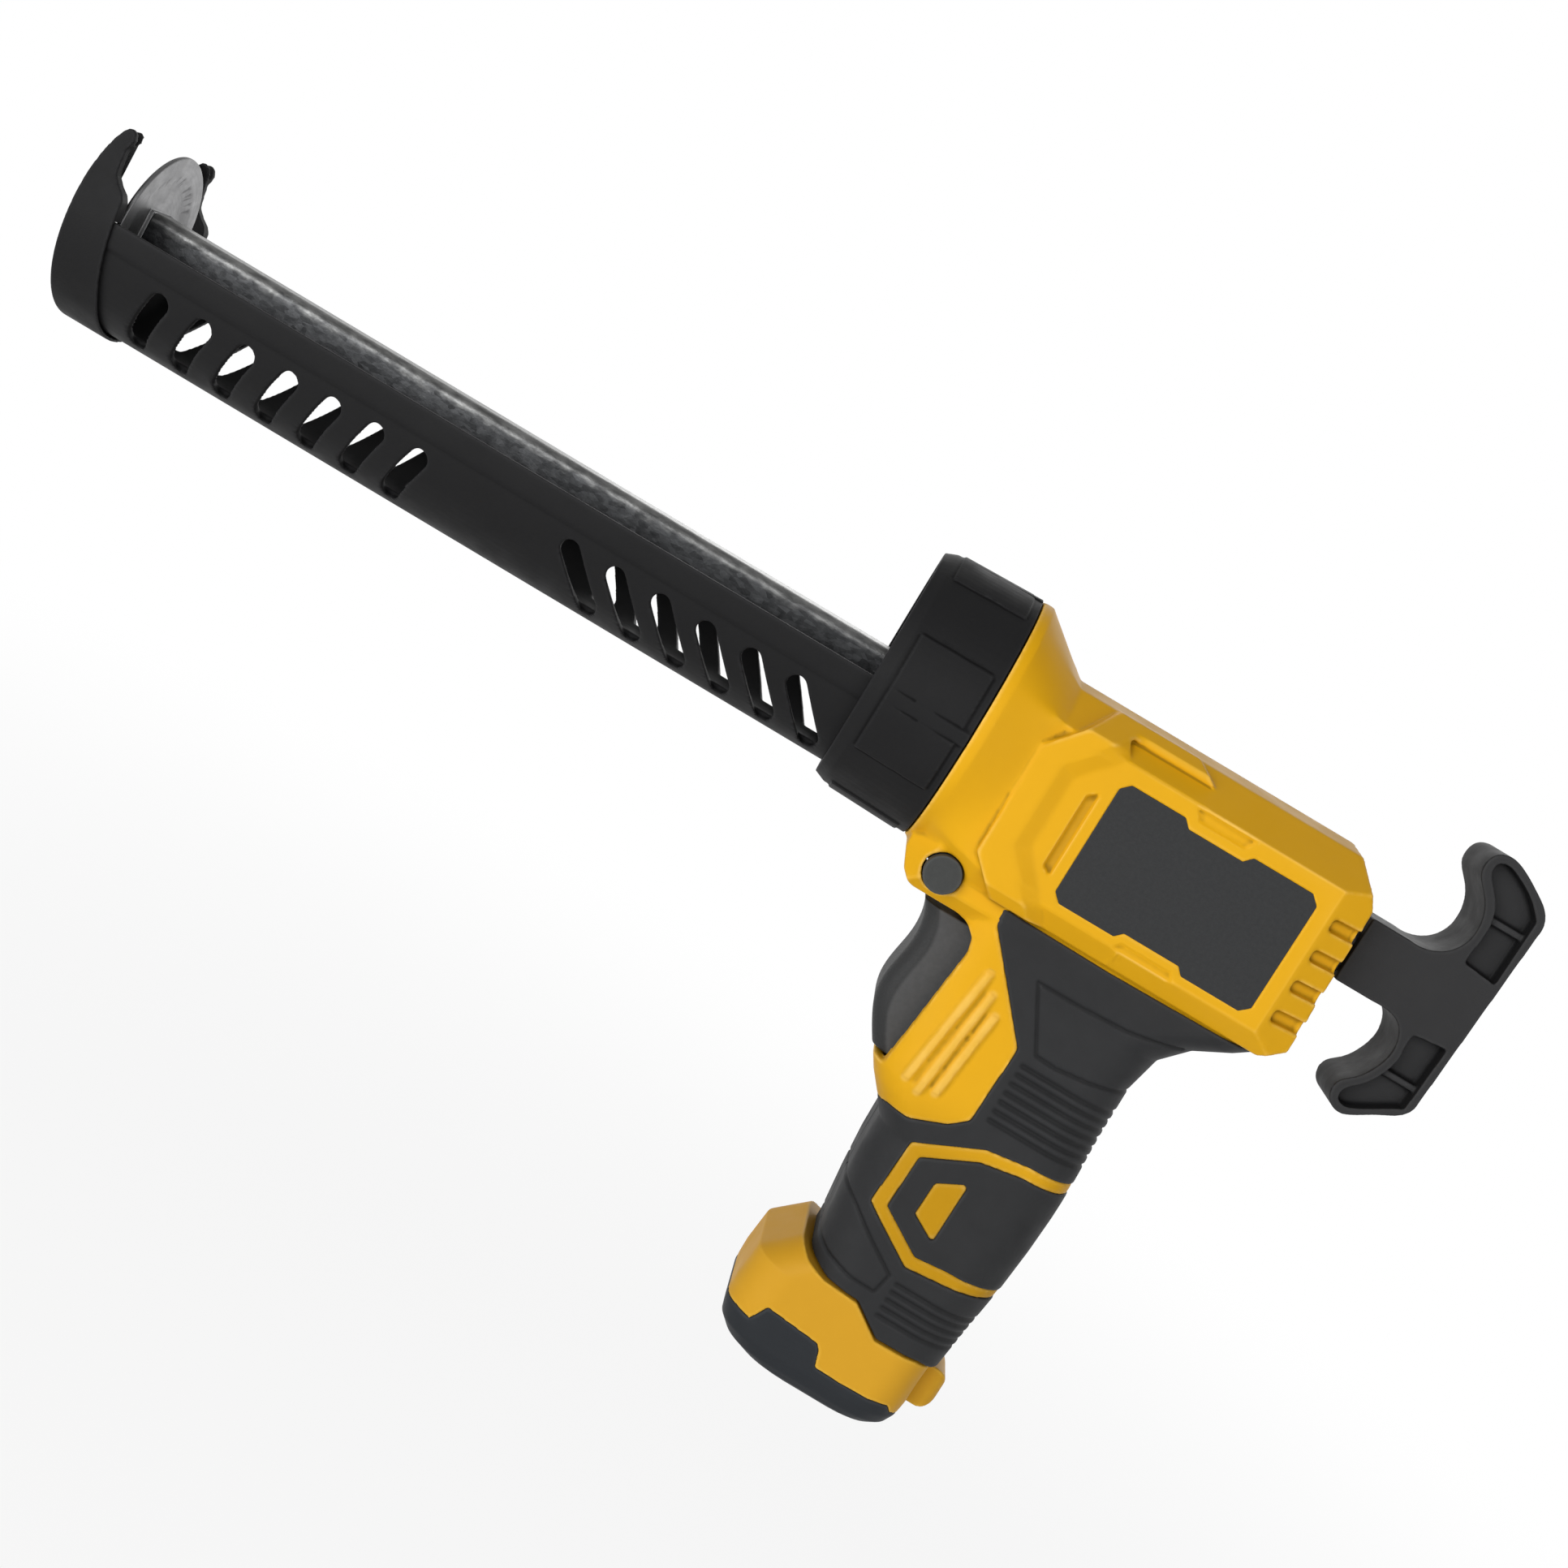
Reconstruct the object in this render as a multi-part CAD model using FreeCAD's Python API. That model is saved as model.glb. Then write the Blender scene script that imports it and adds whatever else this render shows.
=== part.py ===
import FreeCAD, Part
import math
import os

V = FreeCAD.Vector
X_AXIS = V(1, 0, 0)
Y_AXIS = V(0, 1, 0)
Z_AXIS = V(0, 0, 1)

# Cordless caulking tool, millimetres.
# X runs along the barrel axis with the nose at -X, Z is up, the grip hangs towards -Z.
# The origin lies on the barrel axis in the front plane of the casing.

# Shared cutting overrun and fits
overrun = 1.0
running_gap = 0.06
slide_gap = 0.3
seat_gap = 0.1

# Casing
casing_top = 22.3
casing_bottom = 34.5
casing_half_width = 27.0
casing_wall = 2.2
top_half_width = 13.0
top_crown = 1.4
shoulder_drop = 10.1
lower_chamfer_width = 5.0
lower_chamfer_height = 5.5
rear_top_run = 8.0
rear_top_drop = 11.5
rear_low_run = 6.5
rear_low_rise = 4.5
rear_lean = 1.4
rear_corner_run = 11.0
rear_corner_width = 6.0
flange_radius = 34.5
flange_length = 3.0
flare_length = 15.3
flare_turn = 8.0
front_wall = 2.5
chin_half_width = 22.0
chin_nose_half_width = 15.0
chin_nose_run = 7.0
chin_chamfer = 4.5
frame_proud = 2.0
tab_depth = 0.7
label_thickness = 0.8
side_slot_depth = 1.2
vent_count = 4
vent_height = 3.4
vent_pitch = 8.8
vent_top = 5.0
vent_length = 9.5
vent_depth = 1.6

# Casing side outlines, shares of the casing length and of its height above and below the axis
frame_outer_shares = [
    (0.145, -0.446), (0.145, 0.089), (0.271, 0.374), (0.482, 0.374), (0.537, 0.303), (0.537, -0.606),
    (0.229, -0.606),
]
frame_inner_shares = [
    (0.197, -0.357), (0.197, 0.071), (0.312, 0.303), (0.587, 0.303), (0.587, -0.570), (0.312, -0.570),
]
frame_foot_shares = [
    (0.248, -0.312), (0.248, 0.036), (0.335, 0.223), (0.587, 0.223), (0.587, -0.508), (0.335, -0.508),
]
label_shares = [
    (0.346, -0.428), (0.346, 0.096), (0.367, 0.135), (0.507, 0.135), (0.526, 0.098), (0.667, 0.098),
    (0.684, 0.135), (0.839, 0.135), (0.861, 0.094), (0.861, -0.428), (0.839, -0.467), (0.688, -0.467),
    (0.672, -0.433), (0.528, -0.433), (0.511, -0.467), (0.367, -0.467),
]
tab_top_shares = [(0.514, 0.205), (0.674, 0.205), (0.654, 0.145), (0.538, 0.145)]
tab_low_shares = [(0.535, -0.471), (0.666, -0.471), (0.679, -0.515), (0.517, -0.515)]
side_slot_shares = [(0.291, -0.357), (0.291, -0.004), (0.317, 0.043), (0.317, -0.389)]
chin_shares = [
    (0.010, -0.357), (0.010, -0.615), (0.032, -0.704), (0.055, -0.745), (0.083, -0.763),
    (0.284, -0.763), (0.284, -0.357),
]
screw_place_shares = [(0.275, 0.255), (0.569, 0.255), (0.872, 0.240), (0.931, -0.490)]

# Grip, its sleeve and the trigger opening
grip_front = 31.0
grip_depth = 54.7
grip_drop = 118.0
grip_half_width = 23.0
grip_corner = 13.5
sleeve_thickness = 1.7
core_wall = 1.6
band_sink = 0.25
grip_section_shares = [
    (-0.042, -0.201, 1.280, 0.974),
    (0.004, -0.201, 1.342, 0.983),
    (0.030, -0.201, 1.265, 0.978),
    (0.072, -0.201, 1.101, 0.957),
    (0.131, -0.201, 0.987, 0.939),
    (0.216, -0.201, 0.947, 0.930),
    (0.343, -0.201, 0.951, 0.948),
    (0.435, -0.172, 0.960, 0.987),
    (0.470, -0.124, 0.963, 0.996),
    (0.513, -0.048, 0.965, 1.000),
    (0.551, 0.011, 0.965, 1.000),
    (0.640, 0.015, 0.958, 1.000),
    (0.742, 0.033, 0.941, 1.004),
    (0.860, 0.062, 0.910, 1.004),
    (1.013, 0.059, 0.874, 1.004),
]
panel_shares = [
    (-0.128, -0.013), (-0.082, 0.004), (0.371, 0.250), (0.375, 0.267), (0.362, 0.436), (0.283, 0.468),
    (0.110, 0.501), (0.000, 0.504), (-0.201, 0.555), (-0.420, 0.555), (-0.420, -0.013),
]
trigger_mouth_shares = [
    (-0.475, 0.070), (-0.192, 0.070), (-0.119, 0.079), (-0.069, 0.099), (-0.051, 0.131),
    (-0.112, 0.433), (-0.475, 0.433),
]
band_outer_shares = [
    (1.225, 0.461), (0.965, 0.459), (0.713, 0.458), (0.494, 0.473), (0.183, 0.542), (0.168, 0.702),
    (0.466, 0.789), (0.640, 0.781), (0.828, 0.772), (0.941, 0.769), (1.225, 0.767),
]
band_inner_shares = [
    (1.225, 0.487), (0.965, 0.486), (0.713, 0.486), (0.503, 0.504), (0.252, 0.562), (0.245, 0.691),
    (0.479, 0.758), (0.640, 0.750), (0.828, 0.747), (0.941, 0.745), (1.225, 0.743),
]
inset_shares = [
    (0.377, 0.593), (0.497, 0.563), (0.516, 0.568), (0.512, 0.704), (0.497, 0.707), (0.371, 0.674),
]
sleeve_top_shares = [
    (-0.384, 0.003), (0.530, 0.009), (1.225, 0.003), (1.481, -0.004), (1.481, 1.148), (-0.384, 1.148),
]
sleeve_hem_shares = [
    (-0.384, 0.857), (0.000, 0.862), (0.073, 0.884), (0.183, 0.901), (0.366, 0.907), (0.530, 0.960),
    (0.640, 0.959), (0.750, 0.959), (0.841, 0.970), (1.225, 0.992), (1.225, 1.318), (-0.384, 1.318),
]
panel_rib_shares = [
    [(0.064, 0.140), (0.101, 0.140), (0.018, 0.428), (-0.018, 0.428)],
    [(0.128, 0.178), (0.159, 0.178), (0.097, 0.441), (0.060, 0.441)],
    [(0.183, 0.216), (0.225, 0.216), (0.174, 0.424), (0.137, 0.424)],
]
panel_rib_proud = 0.9

# Trigger, switch, lock button and control board
trigger_half_width = 12.5
trigger_rear = 33.5
trigger_travel = 6.0
trigger_round = 5.0
trigger_gap = 0.4
trigger_front_shares = [
    (-0.336, 0.089), (-0.289, 0.140), (-0.282, 0.191), (-0.305, 0.267), (-0.303, 0.318),
    (-0.256, 0.375), (-0.190, 0.426),
]
plunger_radius = 3.0
switch_front = 41.0
switch_length = 17.0
switch_half_width = 8.0
switch_top = -48.0
switch_height = 30.0
rib_thickness = 3.0
lock_x = 12.2
lock_z = -35.6
lock_radius = 5.0
lock_stem_radius = 2.6
lock_proud = 2.3
lock_head = 2.4
lock_travel = 2.0
board_x = 71.0
board_thickness = 1.6
board_half_width = 15.0
board_top = -46.0
board_height = 42.0
contact_block_front = 49.0
contact_block_length = 20.0
contact_block_half_width = 10.0
contact_block_height = 6.0
contact_block_lift = 1.2
blade_thickness = 1.0
blade_width = 6.0
blade_pitch = 6.0
blade_drop = 7.5

# Barrel: spigot, collar, cradle and front holder
collar_length = 28.0
collar_front_radius = 33.6
collar_rear_radius = 34.4
collar_chamfer = 1.3
collar_chamfer_run = 3.2
collar_lip = 2.4
collar_rear_gap = 0.4
collar_group_count = 4
collar_group_turn = 95.2
collar_panel_turn = 15.9
collar_panel_proud = 0.45
collar_panel_width = 14.6
collar_panel_front = 5.0
collar_panel_length = 20.0
collar_rib_width = 3.4
spigot_radius = 31.2
spigot_wall = 4.0
spigot_neck_radius = 25.4
spigot_flange_radius = 28.5
spigot_web = 3.0
cradle_flange = 2.8
cradle_inner_radius = 26.8
cradle_wall = 2.4
cradle_rim_drop = 1.5
rail_height = 6.2
rail_proud = 0.45
slot_width = 5.3
slot_top = 10.9
slot_bottom = 27.0
spine_half_width = 9.8
front_slot_count = 7
front_slot_first = -225.4
front_slot_pitch = 12.35
front_slot_lean = -4.9
rear_slot_count = 6
rear_slot_first = -107.7
rear_slot_pitch = 12.95
rear_slot_lean = 9.0
holder_front = -254.0
holder_length = 13.4
holder_radius = 30.7
holder_plate = 3.0
horn_thickness = 4.4
horn_tip_thickness = 2.0
horn_height = 20.2
horn_lean = 2.6
nozzle_slot_radius = 17.0
horn_shares = [
    (0.000, -1.980), (0.000, 0.300), (0.010, 0.420), (0.045, 0.600), (0.120, 0.800), (0.195, 0.920),
    (0.265, 0.985), (0.340, 1.000), (0.420, 0.970), (0.465, 0.890), (0.445, 0.815), (0.410, 0.760),
    (0.430, 0.640), (0.455, 0.520), (0.480, 0.440), (0.620, 0.340), (0.760, 0.270), (0.830, 0.190),
    (0.930, -0.500), (1.000, -1.000), (1.000, -1.980),
]

# Pusher rod
rod_half_width = 7.0
rod_wall = 2.0
rod_top = 4.3
rod_height = 11.5
rod_corner = 2.6
rod_grip_length = 22.6
rack_lead = 41.0
rack_half_width = 4.5
disc_radius = 21.6
disc_thickness = 3.0
disc_stop_gap = 4.0
disc_rim = 4.6
disc_dish = 1.2
disc_dish_run = 3.5
disc_edge = 1.2
disc_screw_radius = 2.5
disc_screw_length = 12.0
rod_plug_length = 16.0
disc_head_radius = 4.6
disc_head_height = 1.6
bush_flange = 2.2
bush_margin = 2.0

# Handle at the rear end of the rod
handle_gap = 2.6
handle_reach = 36.8
handle_span = 77.5
handle_half_width = 10.5
stem_half_height = 9.1
pocket_depth = 5.0
pocket_rib = 1.8
handle_pin_radius = 2.0
handle_pin_share = 0.30
handle_pin_bite = 1.8
handle_pin_sink = 0.8
hook_upper_shares = [
    (0.302, 0.117), (0.451, 0.124), (0.560, 0.157), (0.625, 0.213), (0.630, 0.271), (0.587, 0.333),
    (0.505, 0.381), (0.440, 0.421), (0.432, 0.459), (0.470, 0.497), (0.549, 0.512), (0.682, 0.497),
    (0.845, 0.454), (0.957, 0.413), (0.997, 0.377), (1.000, 0.335),
]
hook_lower_shares = [
    (0.957, -0.329), (0.946, -0.361), (0.908, -0.387), (0.777, -0.426), (0.628, -0.470),
    (0.522, -0.488), (0.440, -0.472), (0.397, -0.434), (0.410, -0.397), (0.489, -0.359),
    (0.565, -0.305), (0.606, -0.237), (0.587, -0.175), (0.522, -0.133), (0.418, -0.117),
    (0.302, -0.117),
]
pocket_upper_shares = [
    (0.685, 0.145), (0.940, 0.132), (0.940, 0.372), (0.804, 0.434), (0.655, 0.472), (0.560, 0.483),
    (0.505, 0.470), (0.500, 0.444), (0.576, 0.395), (0.658, 0.342), (0.696, 0.274), (0.690, 0.206),
]
pocket_lower_shares = [
    (0.668, -0.142), (0.913, -0.129), (0.894, -0.368), (0.758, -0.405), (0.614, -0.446),
    (0.522, -0.459), (0.470, -0.445), (0.467, -0.418), (0.543, -0.374), (0.630, -0.310),
    (0.671, -0.237), (0.663, -0.181),
]
pocket_rib_upper_share = 0.305
pocket_rib_lower_share = -0.298

# Gear train, all shafts along Y
rack_module = 1.0
pinion_teeth = 16
pinion_x = 28.0
pinion_half_width = 4.0
shaft_radius = 4.0
wheel_module = 0.8
wheel_teeth = 50
second_small_teeth = 12
second_module = 0.6
second_large_teeth = 40
first_small_teeth = 12
first_module = 0.5
first_large_teeth = 48
motor_pinion_teeth = 10
second_lean = -12.8
first_lean = -9.2
motor_lean = 9.5
pressure_angle = 25.0
addendum_share = 0.8
dedendum_share = 1.12
backlash_share = 0.06
flank_steps = 4
level_low = 9.0
level_face = 3.0
level_gap = 0.4
gear_pin_radius = 1.5
gear_hub_radius = 2.6
plate_thickness = 2.0
inner_plate_y = 5.5
plate_margin = 4.4
bush_pad_radius = 9.5
motor_pad_radius = 11.0
plate_post_radius = 1.7
post_place_shares = [(0.883, -0.360)]
left_post_place_shares = [(0.353, -0.320), (0.184, -0.437)]
bush_radius = 6.0
clutch_disc_radius = 9.0
clutch_disc_thickness = 0.8
clutch_nut_radius = 6.5
clutch_nut_height = 3.0

# Motor
motor_radius = 12.0
motor_length = 23.4
motor_rear_room = 14.92
motor_wall = 1.0
motor_cap_height = 1.8
motor_boss_radius = 3.2
motor_boss_height = 1.6
motor_shaft_radius = 1.0
armature_radius = 8.6
armature_length = 13.0
commutator_radius = 4.0
commutator_length = 4.0
motor_screw_radius = 1.25
motor_screw_ring = 8.0
motor_screw_head_radius = 2.3
motor_screw_head = 1.2
motor_screw_length = 3.0

# Casing screws
screw_radius = 1.5
screw_head_radius = 2.9
screw_head_height = 2.2
screw_length = 22.0
screw_seat_y = 12.4
boss_radius = 3.6
socket_radius = 1.4
socket_depth = 1.4

# Battery pack
base_front = 21.9
base_depth = 57.5
base_top = -135.0
base_height = 36.2
base_half_width = 23.7
base_corner = 11.5
boot_thickness = 1.8
hem_gap = 0.6
base_section_shares = [
    (0.000, 0.200, 1.000, 0.962),
    (0.069, 0.158, 0.990, 0.970),
    (0.282, 0.016, 0.967, 0.992),
    (0.552, 0.000, 0.958, 1.000),
    (0.732, 0.002, 0.957, 1.000),
    (0.843, 0.023, 0.948, 0.996),
    (0.925, 0.075, 0.927, 0.966),
    (0.978, 0.150, 0.889, 0.911),
    (1.000, 0.210, 0.854, 0.861),
]
boot_shares = [
    (-0.207, 0.699), (0.019, 0.699), (0.064, 0.691), (0.134, 0.702), (0.181, 0.555), (0.450, 0.597),
    (0.471, 0.633), (0.497, 0.757), (0.623, 0.768), (0.763, 0.760), (0.870, 0.749), (0.899, 0.804),
    (0.965, 0.840), (1.219, 0.840), (1.219, 1.381), (-0.207, 1.381),
]
stem_top = -89.5
stem_length = 75.2
stem_front = 38.0
stem_rear = 74.3
stem_half_width = 19.4
stem_corner = 10.2
cell_radius = 9.15
cell_length = 65.0
cell_gap = 0.15
cell_floor = 1.0
cell_rear_share = 0.719
latch_proud = 5.6
latch_z = -157.6
latch_half_width = 8.0
latch_height = 12.0
latch_depth = 7.9
latch_round = 4.5
latch_travel = 2.0
latch_bite = 1.4
latch_tongue_half_width = 1.5
latch_tongue_height = 7.0

# Derived sizes
casing_height = casing_top + casing_bottom
casing_inner_half = casing_half_width - casing_wall
casing_front = flange_length + flare_length
cradle_outer_radius = cradle_inner_radius + cradle_wall
rod_bottom = rod_top - rod_height
rod_middle = (rod_top + rod_bottom) / 2
rack_pitch_z = rod_bottom + rack_module * addendum_share
pinion_radius = rack_module * pinion_teeth / 2
pinion_z = rack_pitch_z - pinion_radius
level_middle = level_low + level_face + level_gap
level_high = level_middle + level_face + level_gap
outer_plate_y = level_high + level_face + level_gap
collar_front = -collar_length
cradle_rear = collar_front + collar_lip + cradle_flange + 2 * seat_gap
spigot_front = cradle_rear + seat_gap
latch_x = base_front + base_depth + latch_proud


# Basic solids

def box(x0, x1, y0, y1, z0, z1):
    return Part.makeBox(x1 - x0, y1 - y0, z1 - z0, V(x0, y0, z0))


def rod_x(radius, x0, x1, y=0, z=0):
    return Part.makeCylinder(radius, x1 - x0, V(x0, y, z), X_AXIS)


def rod_y(radius, y0, y1, x, z):
    return Part.makeCylinder(radius, y1 - y0, V(x, y0, z), Y_AXIS)


def rod_z(radius, z0, z1, x, y):
    return Part.makeCylinder(radius, z1 - z0, V(x, y, z0), Z_AXIS)


def tube_x(outer, inner, x0, x1):
    return rod_x(outer, x0, x1).cut(rod_x(inner, x0 - overrun, x1 + overrun))


def polygon_face(points):
    return Part.Face(Part.makePolygon(points + [points[0]]))


def prism_y(points, y0, y1):
    face = polygon_face([V(x, y0, z) for x, z in points])
    return face.extrude(V(0, y1 - y0, 0))


def prism_x(points, x0, x1):
    face = polygon_face([V(x0, y, z) for y, z in points])
    return face.extrude(V(x1 - x0, 0, 0))


def prism_z(points, z0, z1):
    face = polygon_face([V(x, y, z0) for x, y in points])
    return face.extrude(V(0, 0, z1 - z0))


def through_y(points):
    reach = 2 * flange_radius
    return prism_y(points, -reach, reach)


def casing_points(shares):
    return [(a * casing_length, b * casing_height) for a, b in shares]


def grip_points(shares):
    return [(grip_front + a * grip_depth, -casing_bottom - b * grip_drop) for a, b in shares]


def base_points(shares):
    return [(base_front + a * base_depth, base_top - b * base_height) for a, b in shares]


def handle_points(shares):
    return [(handle_front + a * handle_reach, b * handle_span) for a, b in shares]


def mirrored(shape):
    return shape.mirror(V(0, 0, 0), Y_AXIS)


def both_sides(shape):
    return shape.fuse(mirrored(shape))


# Casing shell

def casing_section(inset):
    top = casing_top - inset
    low = inset - casing_bottom
    half = casing_half_width - inset
    crown_half = top_half_width - inset / 2
    return [
        (-half, low + lower_chamfer_height), (-half + lower_chamfer_width, low),
        (half - lower_chamfer_width, low), (half, low + lower_chamfer_height),
        (half, top - shoulder_drop), (crown_half, top - top_crown), (0, top),
        (-crown_half, top - top_crown), (-half, top - shoulder_drop),
    ]


def casing_block(inset, front):
    top = casing_top - inset
    low = inset - casing_bottom
    rear = casing_length - inset
    half = casing_half_width - inset
    side = [
        (front, low), (rear - rear_low_run, low), (rear, low + rear_low_rise),
        (rear - rear_lean, top - rear_top_drop), (rear - rear_lean - rear_top_run, top), (front, top),
    ]
    plan = [
        (front, -half), (rear - rear_corner_run, -half), (rear, -half + rear_corner_width),
        (rear, half - rear_corner_width), (rear - rear_corner_run, half), (front, half),
    ]
    solid = through_y(side)
    solid = solid.common(prism_x(casing_section(inset), 0, casing_length + frame_proud))
    return solid.common(prism_z(plan, low - overrun, top + overrun))


def casing_flare(inset):
    radius = flange_radius - inset
    section = casing_section(inset)
    rim = []
    root = []
    for (y0, z0), (y1, z1) in zip(section, section[1:] + section[:1]):
        turn = math.degrees(math.atan2(y0 * z1 - y1 * z0, y0 * y1 + z0 * z1))
        steps = max(1, round(turn / flare_turn))
        for step in range(steps):
            y = y0 + (y1 - y0) * step / steps
            z = z0 + (z1 - z0) * step / steps
            reach = math.hypot(y, z)
            rim.append(V(flange_length, y * radius / reach, z * radius / reach))
            root.append(V(casing_front, y, z))
    wires = [Part.makePolygon(points + points[:1]) for points in (rim, root)]
    return rod_x(radius, 0, flange_length).fuse(Part.makeLoft(wires, True, True))


def casing_chin(inset):
    half = chin_half_width - inset
    points = casing_points(chin_shares)
    front = points[0][0]
    rear = points[-2][0]
    floor = points[-2][1]
    scaled = [(x + inset * (rear - x) / (rear - front), z + inset * (z / floor)) for x, z in points]
    section = [
        (-half, 0), (half, 0), (half, floor + inset + chin_chamfer), (half - chin_chamfer, floor + inset),
        (chin_chamfer - half, floor + inset), (-half, floor + inset + chin_chamfer),
    ]
    nose = chin_nose_half_width - inset
    plan = [
        (scaled[0][0], -nose), (scaled[0][0] + chin_nose_run, -half), (rear, -half),
        (rear, half), (scaled[0][0] + chin_nose_run, half), (scaled[0][0], nose),
    ]
    solid = through_y(scaled).common(prism_x(section, -overrun, casing_length))
    return solid.common(prism_z(plan, floor - overrun, 0))


def rounded_plan(z, front, rear, half, corner):
    bend = corner * math.sqrt(2) / 2
    fa = V(front, corner - half, z)
    fb = V(front, half - corner, z)
    ra = V(rear, corner - half, z)
    rb = V(rear, half - corner, z)
    la = V(front + corner, -half, z)
    lb = V(rear - corner, -half, z)
    ua = V(front + corner, half, z)
    ub = V(rear - corner, half, z)
    inner = corner - bend
    arcs = [
        Part.LineSegment(fa, fb),
        Part.Arc(fb, V(front + inner, half - inner, z), ua),
        Part.LineSegment(ua, ub),
        Part.Arc(ub, V(rear - inner, half - inner, z), rb),
        Part.LineSegment(rb, ra),
        Part.Arc(ra, V(rear - inner, inner - half, z), lb),
        Part.LineSegment(lb, la),
        Part.Arc(la, V(front + inner, inner - half, z), fa),
    ]
    return Part.Wire([arc.toShape() for arc in arcs])


def grip_loft(inset):
    wires = []
    for drop, front, rear, half in reversed(grip_section_shares):
        z = -casing_bottom - drop * grip_drop
        wires.append(rounded_plan(z, grip_front + front * grip_depth + inset,
                                  grip_front + rear * grip_depth - inset,
                                  half * grip_half_width - inset, grip_corner - inset))
    return Part.makeLoft(wires, True, True)


def side_frame():
    reach = casing_half_width + frame_proud
    raised = prism_y(casing_points(frame_outer_shares), -reach - overrun, 0)
    top_wire = Part.makePolygon([V(x, -reach - overrun / 2, z) for x, z in closed(frame_inner_shares)])
    foot_wire = Part.makePolygon([V(x, -casing_half_width, z) for x, z in closed(frame_foot_shares)])
    dish = Part.makeLoft([top_wire, foot_wire], True, True)
    inner = casing_points(frame_inner_shares)
    foot = casing_points(frame_foot_shares)
    shelf = through_y([inner[2], inner[3], foot[3], foot[2]])
    shell = casing_block(-frame_proud, flange_length).common(raised)
    return both_sides(shell.cut([dish, shelf]))


def closed(shares):
    points = casing_points(shares)
    return points + [points[0]]


def side_tabs():
    reach = casing_half_width
    tabs = []
    for shares in (tab_top_shares, tab_low_shares):
        tabs.append(prism_y(casing_points(shares), -reach - overrun, tab_depth - reach))
    return both_sides(tabs[0].fuse(tabs[1]))


def label_plate():
    reach = casing_half_width
    return prism_y(casing_points(label_shares), -reach, label_thickness - reach)


def vents():
    cuts = []
    for index in range(vent_count):
        top = vent_top - index * vent_pitch
        notch = box(casing_length - vent_length, casing_length + overrun,
                    -casing_half_width - overrun, vent_depth - casing_half_width + rear_corner_width,
                    top - vent_height, top)
        cuts.append(notch.cut(casing_block(vent_depth, casing_front)))
    return cuts[0].fuse(cuts[1:])


def screw_bosses():
    half = casing_inner_half + casing_wall / 2
    posts = [rod_y(boss_radius, -half, half, x, z) for x, z in casing_points(screw_place_shares)]
    return posts[0].fuse(posts[1:])


def casing_screws():
    solids = []
    seat = screw_seat_y
    for x, z in casing_points(screw_place_shares):
        shank = rod_y(screw_radius, seat - screw_length, seat, x, z)
        top = seat + screw_head_height
        head = rod_y(screw_head_radius, seat, top, x, z)
        socket = rod_y(socket_radius, top - socket_depth, top + overrun, x, z)
        solids.append(shank.fuse(head).cut(socket))
    return Part.makeCompound(solids)


def screw_holes():
    seat = screw_seat_y
    reach = casing_half_width + overrun
    cuts = []
    for x, z in casing_points(screw_place_shares):
        shank = rod_y(screw_radius, seat - screw_length - seat_gap, seat, x, z)
        head = rod_y(screw_head_radius + slide_gap, seat, reach, x, z)
        cuts.append(shank.fuse(head))
    return cuts[0].fuse(cuts[1:])


def rod_passage(margin, x0, x1):
    return box(x0, x1, -rod_half_width - margin, rod_half_width + margin, rod_bottom - margin, rod_top + margin)


def inner_ribs():
    wall = grip_half_width
    front = switch_front
    low = switch_top - switch_height
    board_mid = board_x + board_thickness / 2
    ribs = [
        box(front, front + switch_length, -wall, -switch_half_width, switch_top - rib_thickness, switch_top),
        box(front, front + switch_length, -wall, -switch_half_width, low, low + rib_thickness),
        box(board_mid - rib_thickness, board_mid + rib_thickness, -wall, rib_thickness - board_half_width,
            board_top - rib_thickness * 2, board_top - rib_thickness),
        box(board_mid - rib_thickness, board_mid + rib_thickness, -wall, rib_thickness - board_half_width,
            board_top - board_height + rib_thickness, board_top - board_height + rib_thickness * 2),
        box(contact_block_front, contact_block_front + contact_block_length, -wall, -contact_block_half_width,
            contact_low(), contact_low() + rib_thickness),
    ]
    keep = grip_loft(sleeve_thickness + core_wall / 2)
    return both_sides(ribs[0].fuse(ribs[1:]).common(keep))


def plate_supports():
    low_x, low_z = casing_points(post_place_shares)[0]
    wall = casing_inner_half + casing_wall / 2
    right = rod_y(boss_radius, outer_plate_y + plate_thickness, wall, low_x, low_z)
    posts = [right]
    for x, z in casing_points(left_post_place_shares):
        posts.append(rod_y(boss_radius, -wall, -inner_plate_y - plate_thickness, x, z))
    return posts[0].fuse(posts[1:])


def contact_low():
    return stem_top + contact_block_lift


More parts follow.
